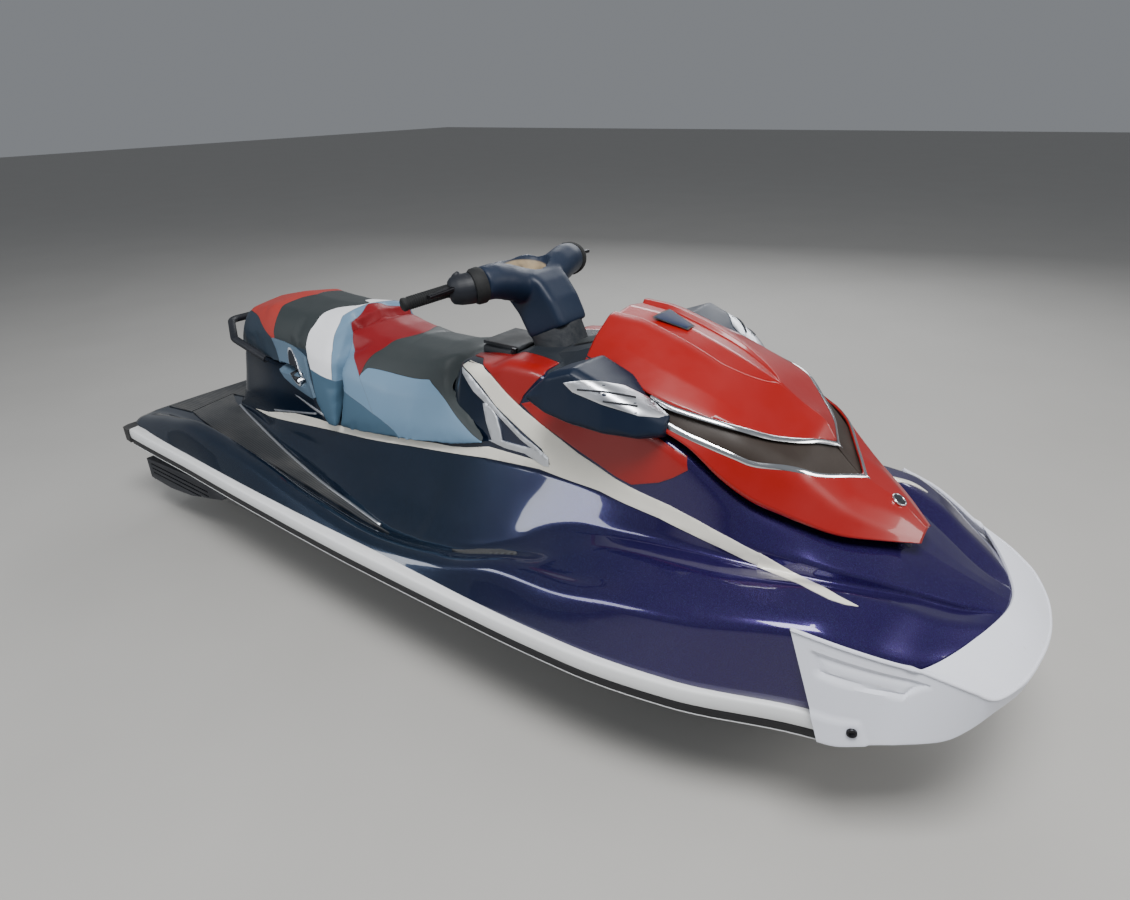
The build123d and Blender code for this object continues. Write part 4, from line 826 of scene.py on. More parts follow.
# %% Bumper edges
def through(points, count, mirrored=True):
    """Points at even steps along a soft curve through the given ones, and on to the other side."""
    p = np.array(points, float)
    if mirrored:
        p = np.vstack([p, p[::-1][1:] * [1, -1, 1]])
    t = np.linspace(0, 1, count)
    i = np.clip((t * (len(p) - 1)).astype(int), 0, len(p) - 2)
    f = (t * (len(p) - 1) - i)[:, None]
    a, b = p[np.maximum(i - 1, 0)], p[i]
    c, d = p[i + 1], p[np.minimum(i + 2, len(p) - 1)]
    square, cube = (2 * a - 5 * b + 4 * c - d) * f ** 2, (3 * b - a - 3 * c + d) * f ** 3
    return 0.5 * (2 * b + (c - a) * f + square + cube)


INNER = [(2774, -432, 560), (2862, -410, 543), (2935, -376, 521), (2978, -350, 506), (3007, -335, 498),
         (3032, -297, 499), (3056, -246, 502), (3076, -196, 506), (3102, -122, 511), (3121, -52, 515),
         (3126, 0, 516)]
CREST = [(2774, -435, 557), (2862, -413, 541), (2935, -379, 519), (2978, -353, 504), (3010, -336, 495),
         (3074, -312, 475), (3112, -294, 460), (3152, -267, 443), (3190, -180, 440), (3208, -86, 446),
         (3214, 0, 448)]
FOOT = [(2866, -448, 315), (2902, -440, 317), (2940, -423, 325), (2978, -402, 331), (3012, -382, 335),
        (3080, -334, 344), (3118, -300, 368), (3152, -262, 406), (3186, -178, 414), (3203, -86, 424),
        (3208, 0, 426)]
SPAN, BAYS = 241, 20                     # rows round the bow, and the scale that the recess is drawn on
BAND = (0, 0.05, 0.25, 0.5, 0.75, 0.95, 1)
DOWN = np.linspace(0.03, 1, 34)
inner, crest, foot = (through(line, SPAN) for line in (INNER, CREST, FOOT))
rows = []
for a, b, c in zip(inner, crest, foot):
    top = [a + (b - a) * t + np.array([0, 0, 5 * math.sin(math.pi * t)]) for t in BAND]
    side = [b + (c - b) * t for t in DOWN]
    rows.append(top + side)
rows = np.array(rows)

# %% [markdown]
# The recess in the side plate is pressed in after the sheet is made: every point has two numbers,
# how far along the plate it is and how far down, and the recess is a polygon in those two.

# %% Bumper plate with its recess
def framed(reach, t, aft, fore, top, foot):
    """How far inside a slanted frame a point of the plate lies, in widths of the frame's edge."""
    slant = (t - 0.16) * 3.2
    return min((reach - aft) / 0.10, (fore - reach - slant) / 0.15, (t - top) / 0.03, (foot - t) / 0.03)


for i in range(SPAN):
    reach = min(i, SPAN - 1 - i) / (SPAN - 1) * BAYS
    for k, t in enumerate(DOWN):
        low = 0.36 + 0.012 * (reach - 0.5)
        recess = framed(reach, t, 0.45, 4.40, 0.13, low)
        border = framed(reach, t, 0.62, 4.20, 0.19, low - 0.04)
        flange = min((t - 0.72) / 0.03, (1.9 - reach + (t - 0.7) * 2) / 0.12)
        inward = 8 * np.clip(recess, 0, 1) - 4 * np.clip(border, 0, 1) - 5 * np.clip(flange, 0, 1)
        point = rows[i, len(BAND) + k]
        point[1] -= np.sign(point[1]) * inward
bumper = thicken(skin("bow_bumper_plate", place(rows)), 7)
soften(bumper, 0.0018, 2, 32)
crisp(bumper, 30)
finish_piece(bumper, "hull_body", "bumper_white", bumper_white, ("bow_bumper",))
tuck = np.clip((crest[:, 0] - 3090) / 100, 0, 1) * 4.4      # keeps the bead behind the stem
bead_points = place(crest * (1, 0.996, 1) + np.column_stack([-tuck, 0 * tuck, 0 * tuck + 1.5]))
print("bumper", len(bumper.data.polygons), "faces")

# %% [markdown]
# ## The hood
# The hood is one painted form in two pieces: the upper hood, and the nose under the bright trim
# and the black grille. Both come from the same sections, cut along the trim line.

# %% Hood sections
CHANNEL = Lines("x half depth", [(2105, 74, 9), (2180, 74, 11), (2300, 76, 11), (2400, 76, 9), (2460, 60, 7),
                                 (2515, 29, 4), (2540, 6, 1), (2580, 4, 0), (2926, 4, 0)])


def hood_half(x):
    """Half section from the low edge to the crown, with a crease on the flank and a channel on top."""
    h = lambda name: HOOD.at(name, x)
    half = min(CHANNEL.at("half", x), h("top_y") * 0.8)
    depth = CHANNEL.at("depth", x)
    lip = h("crown_z") + (h("top_z") - h("crown_z")) * half / h("top_y")
    bulge = 8 * float(np.clip((2560 - x) / 110, 0, 1))
    crease = (h("mid_y") * 0.53 + h("top_y") * 0.47 + bulge * 0.6,
              h("mid_z") * 0.53 + h("top_z") * 0.47 + bulge * 0.8)
    corners = [(h("low_y"), h("low_z"), 0), (h("mid_y"), h("mid_z"), 30), (*crease, 7),
               (h("top_y"), h("top_z"), 14), (half, lip, 2.5),
               (half - min(8, half * 0.4), lip - depth, 2.5), (0, h("crown_z") - depth, 0)]
    return rounded(corners, 5, 7)


def climb_of(section):
    """Height less breadth: a number that only grows from the low edge to the crown."""
    return np.maximum.accumulate(section[:, 1] - section[:, 0]) + np.arange(len(section)) * 1e-6


def between(section, low, high):
    """The section with everything under or over two levels of climb drawn in to them."""
    climb = climb_of(section)
    kept = np.clip(climb, low, high)
    return np.column_stack([np.interp(kept, climb, section[:, 0]), np.interp(kept, climb, section[:, 1])])


def set_proud(x, section, level, proud):
    """The points of a section at some levels of climb, moved out along its normal."""
    climb = climb_of(section)
    y, z = np.interp(level, climb, section[:, 0]), np.interp(level, climb, section[:, 1])
    dy, dz = np.gradient(y), np.gradient(z)
    length = np.hypot(dy, dz) + 1e-9
    return np.column_stack([np.full(len(y), x), y + dz / length * proud, z - dy / length * proud])


def hood_skin(name, x_from, x_to, low, high, count, inset=0.0):
    rows = []
    for x in np.linspace(x_from, x_to, count):
        section = between(hood_half(x), low(x), high(x))
        if inset:
            section = np.column_stack([np.maximum(section[:, 0] - inset, 0), section[:, 1] - inset * 0.8])
        rows.append(at_station(x, both_sides(section)))
    return open_middle(skin(name, rows))


UPPER_TIP, MOUTH_TIP = 2692, 2764
edge_climb = lambda x: UPPER_EDGE.at("climb", x)
lip_climb = lambda x: LOWER_EDGE.at("climb", x)
nowhere, everywhere = (lambda x: -1e4), (lambda x: 1e4)
upper = hood_skin("hood_upper_shell", HOOD.x[0], UPPER_TIP, edge_climb, everywhere, 110)
nose = hood_skin("hood_nose_shell", HOOD.x[0], HOOD.x[-1], nowhere,
                 lambda x: lip_climb(x) if x < MOUTH_TIP else 1e4, 150)
grille = hood_skin("hood_grille_panel", 2110, 2790, lambda x: lip_climb(x) - 12,
                   lambda x: edge_climb(x) + 12 if x < UPPER_TIP - 12 else 1e4, 90, inset=11)
for shell in (upper, nose):
    crisp(thicken(shell, 6, material_offset=1), 34)
finish_piece(upper, "hood_body", "red_gel", [red_paint, liner], ("hood_upper",))
finish_piece(nose, "hood_body", "red_gel", [red_paint, liner], ("hood_nose",))
finish_piece(grille, "hood_body", "grille_black", grille_black, ("hood_grille",))
print("hood", len(upper.data.polygons), len(nose.data.polygons), "faces")

# %% [markdown]
# ## Bright trim and the hood's fittings
# Two bright strips edge the mouth of the hood. Each follows the trim line and keeps to the hood's
# own section, a few millimetres proud of it.

# %% Trim strips
def hood_band(name, x_from, x_to, low, high):
    """A raised strip on the hood between two levels of climb, one for each side."""
    proud = 2.5 * np.array([0.2, 0.8, 1, 1, 0.8, 0.2])
    rows = []
    for x in np.linspace(x_from, x_to, 90):
        section = hood_half(x)
        top = min(high(x), climb_of(section)[-1])
        level = np.linspace(min(low(x), top - 0.3), top, len(proud))
        rows.append(set_proud(x, section, level, proud))
    return [skin(f"{name}_{word}", place(np.array(rows) * [1, side, 1])) for word, side in SIDES]


trim_rims = (
    hood_band("trim_upper", 2326, 2708, lambda x: edge_climb(x) - UPPER_EDGE.at("wide", x), edge_climb)
    + hood_band("trim_lower", 2345, 2782, lambda x: lip_climb(x) - LOWER_EDGE.at("wide", x),
                lambda x: lip_climb(x) + 1))
finish_all(trim_rims, "hood_body", "bright_trim", bright_trim, ("hood_trims",))

# %% [markdown]
# A small dark window sits in the channel of the hood, and a plain round badge, left blank, near
# the tip of the nose. The badge is turned on a lathe: a profile swept round its axis and laid
# square to the nose.

# %% Hood window and blank badge
def crown_z(x, y=0.0):
    section = hood_half(x)[::-1]
    return float(np.interp(abs(y), section[:, 0], section[:, 1]))


def hood_plate(name, outline, proud):
    """A plate on top of the hood whose half width is given along x."""
    rows = []
    for x in np.linspace(outline[0][0], outline[-1][0], 8):
        half = float(np.interp(x, [p[0] for p in outline], [p[1] for p in outline]))
        rows.append([(x, y, crown_z(x) + proud + 1.5 * (1 - (y / half) ** 2))
                     for y in np.linspace(-half, half, 9)])
    return skin(name, place(rows))


glass, tree, shader = finish("window_glass", Roughness=0.40, Specular_IOR_Level=0.06)
tint = mix_colours(tree, noise(tree, object_space(tree), 9.0, 3.0),
                   (0.002, 0.006, 0.026), (0.006, 0.018, 0.070))
feed(tree, shader.inputs["Base Color"], tint)
finish_piece(hood_plate("hood_window", [(2206, 42), (2286, 17)], 1.5), "hood_body", "grille_black", glass)
finish_piece(hood_plate("hood_window_rim", [(2200, 47), (2292, 20)], 0.6), "hood_body", "grille_black",
             black_rubber)


def turned(name, profile, where, axis, count=40):
    """A lathe-turned piece: (radius, height) points in millimetres about an axis at a place."""
    axis = Vector(axis).normalized()
    frame_turn = axis.to_track_quat("Z", "Y").to_matrix()
    centre = Vector(place([where])[0])
    rows = []
    for k in range(count):
        a = 2 * math.pi * k / count
        rows.append([centre + frame_turn @ Vector((r * math.cos(a), r * math.sin(a), h)) / 1000
                     for r, h in profile])
    rows.append(rows[0])
    return skin(name, rows)


slope = math.atan2(crown_z(2840) - crown_z(2868), 28)
nose_up = (math.sin(slope), 0, math.cos(slope))
badge_at = (2854, 0, crown_z(2854) + 0.5)
BADGE_RING = [(18.5, -1), (18.5, 2), (17.5, 3.4), (15.8, 3.4), (15, 2), (15, -1)]
BADGE_FACE = [(15.2, 1.2), (11, 2.0), (6, 2.4), (0.05, 2.5)]
badge_ring = turned("badge_ring", BADGE_RING, badge_at, nose_up)
badge_face = turned("badge_face", BADGE_FACE, badge_at, nose_up)
finish_piece(badge_ring, "hood_body", "bright_trim", bright_trim)
finish_piece(badge_face, "hood_body", "grille_black", dash_black)
print("badge slope", round(math.degrees(slope), 1), "degrees")

# %% [markdown]
# ## Panels on the pedestal
# The cream stripe, the red panels and two silver V bars follow the moulding under them; the silver of the V
# bars is a painted highlight where the ledge of the pedestal catches the light. Each is drawn flat in side
# view, cut into small cells, and laid on the deck section a little proud. Then it keeps to the surface from
# every side, and its edge is a true edge.

# %% Laying a flat outline on a surface
def cells_of(outline, step):
    """A flat outline cut into cells: points (u, v) and faces."""
    bm = bmesh.new()
    bm.faces.new([bm.verts.new((u, v, 0)) for u, v in outline])
    for axis, normal in enumerate(((1, 0, 0), (0, 1, 0))):
        values = [p[axis] for p in outline]
        for cut in np.arange(math.floor(min(values) / step) + 1, math.ceil(max(values) / step)) * step:
            geometry = bm.verts[:] + bm.edges[:] + bm.faces[:]
            bmesh.ops.bisect_plane(bm, geom=geometry, plane_co=[cut * n for n in normal],
                                   plane_no=normal, dist=0.01)
    bm.verts.index_update()
    points = [(v.co.x, v.co.y) for v in bm.verts]
    faces = [tuple(v.index for v in f.verts) for f in bm.faces]
    bm.free()
    return points, faces


def as_panel(piece, outward, thick, bevel, **settings):
    """Turns a sheet to face outward, thickens it and softens its rim."""
    if sum((p.normal for p in piece.data.polygons), Vector()).dot(Vector(outward)) < 0:
        piece.data.flip_normals()
    thicken(piece, thick, **settings)
    return crisp(soften(piece, bevel / 1000, 2, 50), 50)


def laid(name, outline, surface, step=14, thick=3.0, bevel=0.8, sides=SIDES):
    """Pieces laid on a surface(u, v, side) -> point in millimetres, thickened inward."""
    points, faces = cells_of(outline, step)
    made = []
    for word, side in sides:
        label = name if len(sides) == 1 else f"{name}_{word}"
        piece = shape(label, place([surface(u, v, side) for u, v in points]), faces)
        breadth = sum(v.co.y for v in piece.data.vertices) / len(piece.data.vertices)
        made.append(as_panel(piece, (0, breadth, abs(breadth) + 0.02), thick, bevel, use_even_offset=True))
    return made


def on_pedestal(proud):
    return lambda x, z, side: (x, side * (side_y(x, z) + proud), z)


def on_floor(proud):
    return lambda x, y, side: (x, side * y, floor_z(x, abs(y)) + proud)


def wrapped(name, outer, inner, proud, count=50, across=16):
    """A panel laid round the deck between two edge lines, each given as points (x, y, z)."""
    lines = [([p[0] for p in edge], [p[2] - p[1] for p in edge]) for edge in (outer, inner)]
    rows = []
    for x in np.linspace(max(outer[0][0], inner[0][0]), min(outer[-1][0], inner[-1][0]), count):
        low, high = (float(np.interp(x, *line)) for line in lines)
        level = np.linspace(min(low, high - 0.5), high, across)
        rows.append(set_proud(x, rounded(deck_corners(x)[1:], 6, 6), level, proud))
    return [as_panel(skin(f"{name}_{word}", place(np.array(rows) * [1, side, 1])), (0, side, 1), 3, 0.8)
            for word, side in SIDES]


# %% Stripe, red panels and V bars of painted highlight
STRIPE = [(440, 430), (560, 449), (640, 469), (760, 494), (900, 508), (1020, 514), (1180, 528),
          (1318, 545), (1450, 566), (1560, 586), (1634, 600), (1700, 616), (1792, 644), (1900, 652),
          (2034, 662), (1998, 696), (1918, 726), (1808, 770), (1745, 806), (1692, 832), (1648, 846),
          (1664, 859), (1728, 860), (1778, 848), (1849, 815), (1918, 786), (2015, 754), (2122, 720),
          (2249, 692), (2326, 680), (2411, 670), (2491, 652), (2566, 631), (2637, 608), (2637, 578),
          (2618, 582), (2547, 601), (2471, 616), (2390, 630), (2206, 643), (1996, 638), (1783, 608),
          (1547, 564), (1318, 528), (1206, 512), (1022, 492), (811, 465), (564, 436)]
RED_LOWER = [(1911, 800), (1985, 764), (2122, 727), (2249, 699), (2302, 692), (2377, 720), (2413, 742),
             (2448, 770), (2440, 800), (2330, 842), (2200, 838), (2030, 830), (1960, 820)]
BOW_LOW = [(2636, 290, 577), (2691, 289, 572), (2735, 301, 578), (2769, 316, 583), (2815, 322, 580),
           (2844, 315, 576), (2868, 301, 572)]
BOW_HIGH = [(2636, 280, 609), (2704, 262, 578), (2740, 272, 580), (2780, 286, 581), (2829, 301, 581),
            (2868, 300, 573)]
RED_LOW = [(1650, 143, 866), (1690, 146, 864), (1728, 190, 862), (1778, 212, 851), (1849, 234, 818),
           (1905, 242, 793), (1915, 240, 823), (1950, 234, 860), (1985, 228, 893)]
RED_HIGH = [(1650, 118, 868), (1716, 92, 871), (1768, 92, 876), (1899, 140, 905), (1985, 160, 905)]
DASH_LOW = [(1768, 91, 876), (1899, 139, 905), (1985, 159, 905), (1992, 226, 894), (2100, 238, 868)]
DASH_HIGH = [(1768, 4, 890), (1850, 4, 908), (1950, 4, 914), (2100, 4, 880)]
finish_all(laid("stripe", STRIPE, on_pedestal(2.2)), "hull_body", "white_rail", cream_paint)
finish_all(wrapped("stripe_bow", BOW_LOW, BOW_HIGH, 2.2, 30, 6), "hull_body", "white_rail", cream_paint)
finish_all(wrapped("red_upper_panel", RED_LOW, RED_HIGH, 1.8), "hull_body", "red_gel", red_paint)
finish_all(wrapped("dash_cover", DASH_LOW, DASH_HIGH, 2.5), "hull_body", "display_black", dash_plastic)
finish_all(laid("red_lower_panel", RED_LOWER, on_pedestal(1.8)), "hull_body", "red_gel", red_paint,
           ("side_panels",))
VENT_BARS = {"vent_bottom_bar": [(1791, 664), (1806, 668), (1846, 678), (1921, 684), (1985, 690),
                                 (2026, 677), (2030, 656), (2011, 652), (1939, 666), (1860, 660)],
             "vent_left_bar": [(1755, 762), (1770, 770), (1800, 756), (1820, 738), (1838, 706),
                               (1848, 678), (1806, 666), (1790, 690), (1774, 716)],
             "vent_right_bar": [(1650, 842), (1690, 828), (1745, 800), (1808, 767), (1918, 717),
                                (1985, 696), (2026, 680), (2020, 668), (1985, 682), (1921, 700),
                                (1817, 748), (1766, 766), (1711, 786), (1654, 826)]}
# The two V bars are silver paint laid where the ledge of the pedestal catches the light: a painted highlight.
LEDGE_HIGHLIGHT_VEES = {"vee_level_highlight": [(610, 474), (760, 503), (905, 530), (905, 523), (760, 496), (624, 468)],
        "vee_rising_highlight": [(773, 572), (800, 569), (900, 548), (1004, 524), (1000, 516), (890, 540)]}
for bars, proud, thick, hides in ((VENT_BARS, 4.5, 6, ("vent_frames",)), (LEDGE_HIGHLIGHT_VEES, 3.5, 4, ())):
    for name, outline in bars.items():
        pieces = laid(name, outline, on_pedestal(proud), thick=thick)
        finish_all(pieces, "hull_body", "vent_silver", silver_trim_and_highlight, hides)

# %% [markdown]
# ## Mats
# The foot wells and the platform are covered with ribbed foam. The ribs run lengthwise in the wells and
# slantwise at the toes. They are too fine for a mesh, so a wave gives them to the bump, and a darker colour
# in the grooves between them is painted shade.

# %% Ribbed foam
rib_group, gi, go = group("mat_ribs", [("Pitch", FLOAT, 9.0), ("Slant", FLOAT, 0.0)],
                          [("Height", FLOAT), ("Groove shade", FLOAT)])
where = separate(rib_group)
line = maths(rib_group, "ADD", maths(rib_group, "ABSOLUTE", where["Y"]),
             times(rib_group, where["X"], gi["Slant"]))
turns = times(rib_group, maths(rib_group, "DIVIDE", line, gi["Pitch"]), 6283.2)      # one a pitch, in mm
wave = maths(rib_group, "SINE", turns)
feed(rib_group, go["Height"], remap(rib_group, wave, -0.6, 0.5, smooth=True))
feed(rib_group, go["Groove shade"], remap(rib_group, wave, 0.1, -0.8, smooth=True))


def foam(name, pitch, slant):
    material, tree, shader = finish(name)
    ribs = use(tree, rib_group, Pitch=pitch, Slant=slant)
    # The grooves between the ribs get a darker colour: painted shade.
    base = mix_colours(tree, ribs["Groove shade"], (0.040, 0.044, 0.050), (0.010, 0.011, 0.013))
    dress(tree, shader, base, 0.75, dust=0.12)
    bump(tree, ribs["Height"], 0.8, 0.0015, shader)
    return material


well_foam = foam("well_foam", 9.0, -0.12)
toe_foam = foam("toe_foam", 11.0, 0.9)
platform_foam = foam("platform_foam", 12.0, 0.0)
WELL_MAT = [(150, 120), (196, 330), (290, 350), (500, 385), (850, 404), (1200, 430), (1400, 446),
            (1530, 452), (1470, 440), (1400, 428), (1100, 380), (820, 322), (600, 268), (400, 214),
            (260, 172)]
TOE_MAT = [(1790, 440), (1860, 462), (1960, 462), (2040, 440), (2024, 428), (1960, 418), (1880, 420)]
PLATFORM_MAT = [(26, 344), (186, 330), (142, 118), (290, 100), (290, -100), (142, -118), (186, -330),
                (26, -344)]
MATS = [("well_mat", WELL_MAT, 25, SIDES, well_foam, "footwell_mats"),
        ("toe_mat", TOE_MAT, 15, SIDES, toe_foam, "toe_mats"),
        ("platform_mat_foam", PLATFORM_MAT, 25, SIDES[:1], platform_foam, "platform_mat")]
for name, outline, step, sides, material, node in MATS:
    pieces = laid(name, outline, on_floor(5), step, 5, 1.5, sides)
    finish_all(pieces, "hull_body", "mat_foam", material, (node,))
# A silver ridge runs along the inner edge of each well mat. Its bright silver is a painted highlight, the
# light caught on that crease.
RIDGE = Lines("x y", [(300, 178), (400, 208), (600, 262), (820, 316), (1100, 374), (1400, 422), (1470, 434)])
RIDGE_SECTION = ((-6, 0), (-5, 5), (-2, 8), (2, 8), (5, 6), (6, 0))
for word, side in SIDES:
    rows = []
    for x in np.linspace(RIDGE.x[0], RIDGE.x[-1], 60):
        y = RIDGE.at("y", x)
        rows.append([(x, side * (y + w), floor_z(x, y + w) + h) for w, h in RIDGE_SECTION])
    ridge = skin(f"well_ridge_painted_highlight_{word}", place(rows), close=True, caps=True)
    finish_piece(ridge, "hull_body", "vent_silver", silver_trim_and_highlight)
print("mats and ridges laid")

# %% [markdown]
# ## Seat covers
# The seat is foam under sewn vinyl in several colours. Foam swells between its seams and pulls in at
# them, so the covers are made as real ones are filled: the form is remeshed finely, taken in a
# little, and blown out as cloth under pressure, with a limit on how far it may go.

# %% Copying and rounding a CAD form
def rounded_copy(name, node, voxel, smooth, take_in=0.0):
    """A finely remeshed and smoothed copy of a CAD node."""
    piece = bpy.data.objects.new(name, nodes[node].data.copy())
    piece.data.materials.clear()
    bpy.context.scene.collection.objects.link(piece)
    relax(remesh(piece, voxel), smooth)
    if take_in:
        shrink = piece.modifiers.new("take_in", "DISPLACE")
        shrink.strength, shrink.mid_level = -take_in, 0
    return apply_modifiers(piece)


PRESSURE, FRAMES, SWELL_CAP = 4.0, 20, 0.012


def swell(piece):
    """Blows a closed cover out as cloth, then limits how far each point may go."""
    before = np.empty(len(piece.data.vertices) * 3)
    piece.data.vertices.foreach_get("co", before)
    cloth = piece.modifiers.new("cloth", "CLOTH")
    cloth.settings.use_pressure = True
    cloth.settings.uniform_pressure_force = PRESSURE
    cloth.settings.quality = 5
    cloth.settings.tension_stiffness = cloth.settings.compression_stiffness = 15
    cloth.settings.effector_weights.gravity = 0
    scene = bpy.context.scene
    for frame_number in range(1, FRAMES + 1):
        scene.frame_set(frame_number)
    apply_modifiers(piece)
    scene.frame_set(1)
    after = np.empty_like(before)
    piece.data.vertices.foreach_get("co", after)
    move = (after - before).reshape(-1, 3)
    reach = np.linalg.norm(move, axis=1, keepdims=True)
    move *= np.minimum(1, SWELL_CAP / np.maximum(reach, 1e-9))
    piece.data.vertices.foreach_set("co", (before.reshape(-1, 3) + move).ravel())
    piece.data.update()
    print(piece.name, "swelled by", round(float(reach.mean()) * 1000, 1), "mm before the limit")
    return piece


def even_out(piece, rounds):
    apply_modifiers(relax(piece, rounds))
    for polygon in piece.data.polygons:
        polygon.use_smooth = True
    return piece


# %% Rear and front seat forms
seats = {}
for name, node in (("rear_seat_cover", "rear_seat"), ("front_seat_cover", "front_seat")):
    cover = rounded_copy(name, node, voxel=0.008, smooth=10, take_in=0.006)
    swell(cover)
    seats[node] = even_out(cover, 8)
print("seat faces", [len(s.data.polygons) for s in seats.values()])

# %% [markdown]
# The colours of the covers meet along curves that run round the seat. Each curve is drawn on two
# numbers: the distance ahead of the stern, and the angle round the seat, from its ridge down its
# side. Float curves in the shader hold them, so the borders stay sharp at any distance.

# %% Borders of the seat colours
SEAT_AXIS_Z, ANGLE_SPAN, X_FROM, X_TO = 0.700, 2.4, 0.3, 1.9
TAIL_IN = [(0.0, 715), (0.3, 688), (0.6, 684), (0.85, 692), (1.1, 692), (1.25, 702), (2.4, 702)]
WHITE_AFT = [(0.0, 1004), (0.12, 985), (0.2, 948), (0.36, 908), (0.58, 900), (0.81, 903), (1.01, 893),
             (1.21, 897), (1.36, 910), (1.52, 932), (1.7, 950), (2.4, 990)]
WHITE_FORE = [(0.0, 1006), (0.15, 1003), (0.3, 1004), (0.53, 1014), (0.78, 1028), (1.0, 1026),
              (1.18, 1032), (1.38, 1042), (1.61, 1043), (2.4, 1060)]
CREST_AFT = [(0.0, 1010), (0.12, 1022), (0.36, 1040), (0.64, 1066), (0.78, 1076), (0.93, 1087),
             (1.13, 1115), (1.3, 1147), (1.47, 1180), (1.66, 1218), (1.83, 1251), (1.9, 1268),
             (2.4, 1330)]
CREST_FORE = [(0.0, 1286), (0.15, 1280), (0.29, 1272), (0.62, 1247), (0.88, 1232), (1.06, 1206),
              (1.23, 1188), (1.47, 1178), (1.6, 1150), (2.4, 1150)]
BLUE_FORE = [(0.0, 1470), (1.0, 1470), (1.2, 1484), (1.24, 1496), (1.4, 1587), (1.57, 1662), (1.68, 1728),
             (1.76, 1790), (2.4, 1880)]
TAIL_SIDE = [(300, 0.62), (450, 0.80), (558, 0.92), (597, 1.03), (663, 1.20), (705, 1.27), (1900, 1.27)]
BLUE_TOP = [(300, 1.5), (1150, 1.5), (1180, 1.42), (1206, 1.30), (1269, 1.285), (1332, 1.285),
            (1413, 1.275), (1491, 1.225), (1560, 1.2), (1900, 1.2)]
SEAM_LOW = [(300, 1.3), (800, 1.42), (936, 1.54), (1042, 1.63), (1141, 1.76), (1249, 1.87), (1367, 1.98),
            (1480, 2.2), (1900, 2.4)]

seat_group, gi, go = group(
    "seat_colours", [("Softness", FLOAT, 0.0016)],
    [(label, FLOAT) for label in ("Tail", "White", "Blue", "Crest", "Dark side", "Low side")])
where = separate(seat_group)
along = maths(seat_group, "ADD", where["X"], HALF_LENGTH / 1000)
round_seat = maths(seat_group, "ARCTAN2", maths(seat_group, "ABSOLUTE", where["Y"]),
                   maths(seat_group, "SUBTRACT", where["Z"], SEAT_AXIS_Z))


def border(points, over_angle):
    """A float curve: distance ahead over the angle, or the angle over the distance."""
    node = seat_group.nodes.new("ShaderNodeFloatCurve")
    spans = [(X_FROM, X_TO), (0, ANGLE_SPAN)]
    units = [1000, 1]
    if over_angle:
        spans, units = spans[::-1], units[::-1]
    curve = node.mapping.curves[0]
    scaled = [[(value / unit - start) / (end - start)
               for value, unit, (start, end) in zip(point, units, spans)] for point in points]
    while len(curve.points) < len(scaled):
        curve.points.new(0.5, 0.5)
    for point, where in zip(curve.points, scaled):
        point.location = where
        point.handle_type = "AUTO_CLAMPED"
    node.mapping.update()
    source = round_seat if over_angle else along
    feed(seat_group, node.inputs["Value"], remap(seat_group, source, spans[0][0], spans[0][1]))
    return remap(seat_group, node.outputs[0], 0, 1, spans[1][0], spans[1][1])


def past(value, limit, softness=0.0012):
    """1 where the value is over the limit, with a soft edge."""
    return remap(seat_group, maths(seat_group, "SUBTRACT", value, limit), -softness, softness)


def both(*masks):
    return times(seat_group, *masks)


def no(mask):
    return maths(seat_group, "SUBTRACT", 1.0, mask)


x_white_aft, x_white_fore = border(WHITE_AFT, True), border(WHITE_FORE, True)
x_crest_aft, x_crest_fore = border(CREST_AFT, True), border(CREST_FORE, True)
a_seam, a_tail, a_blue = border(SEAM_LOW, False), border(TAIL_SIDE, False), border(BLUE_TOP, False)
low = past(round_seat, a_seam, 0.005)
tail = both(no(past(along, border(TAIL_IN, True))), no(past(round_seat, a_tail, 0.005)))
white = both(past(along, x_white_aft), no(past(along, x_white_fore)), no(low))
crest = both(past(along, x_crest_aft), no(past(along, x_crest_fore)), no(past(round_seat, 1.475, 0.004)))
band = both(past(along, x_white_fore), no(past(along, x_crest_aft)), no(low))
side = both(past(along, x_crest_aft), no(past(along, border(BLUE_FORE, True))),
            past(round_seat, a_blue, 0.005), no(low))
dark = both(no(past(along, x_white_aft)), past(round_seat, a_tail, 0.005))
low_side = both(low, past(along, x_white_aft))
for label, mask in (("Tail", tail), ("White", white), ("Blue", maths(seat_group, "MAXIMUM", band, side)),
                    ("Crest", crest), ("Dark side", dark), ("Low side", low_side)):
    feed(seat_group, go[label], mask)
print("seat borders drawn")

# %% Sewn vinyl
vinyl, tree, shader = finish("seat_vinyl", Specular_IOR_Level=0.32)
masks = use(tree, seat_group)
colour = mix_colours(tree, noise(tree, object_space(tree), 5.0, 4.0),
                     (0.020, 0.026, 0.028), (0.038, 0.046, 0.048))
SEAT_TONES = {"Dark side": (0.020, 0.034, 0.052), "Tail": (0.34, 0.035, 0.028),
              "Low side": (0.050, 0.105, 0.160), "Blue": (0.135, 0.230, 0.335),
              "White": (0.80, 0.81, 0.84), "Crest": (0.19, 0.002, 0.006)}
for label, tone in SEAT_TONES.items():
    colour = mix_colours(tree, masks[label], colour, tone)
dress(tree, shader, colour, 0.46, (0.20, 0.20, 0.21), 0.10, 0.0, 0.02)
bump(tree, use(tree, grain_group, Scale=520.0, Coarse=0.6)["Height"], 0.30, 0.0004, shader)
for node, cover in seats.items():
    finish_piece(cover, "hull_body", "seat_vinyl", vinyl, (node,))

# %% [markdown]
# Seams come last. Each border is walked in small steps, a ray finds the cover under it, and a thin
# welt is laid there, half sunk.

# %% Welts along the borders
def tree_of(*pieces):
    """A search tree over the final surfaces of several pieces."""
    points, faces = [], []
    for piece in pieces:
        base = len(points)
        points += [piece.matrix_world @ v.co for v in piece.data.vertices]
        faces += [tuple(base + i for i in p.vertices) for p in piece.data.polygons]
    return BVHTree.FromPolygons(points, faces)


seat_tree = tree_of(*seats.values())


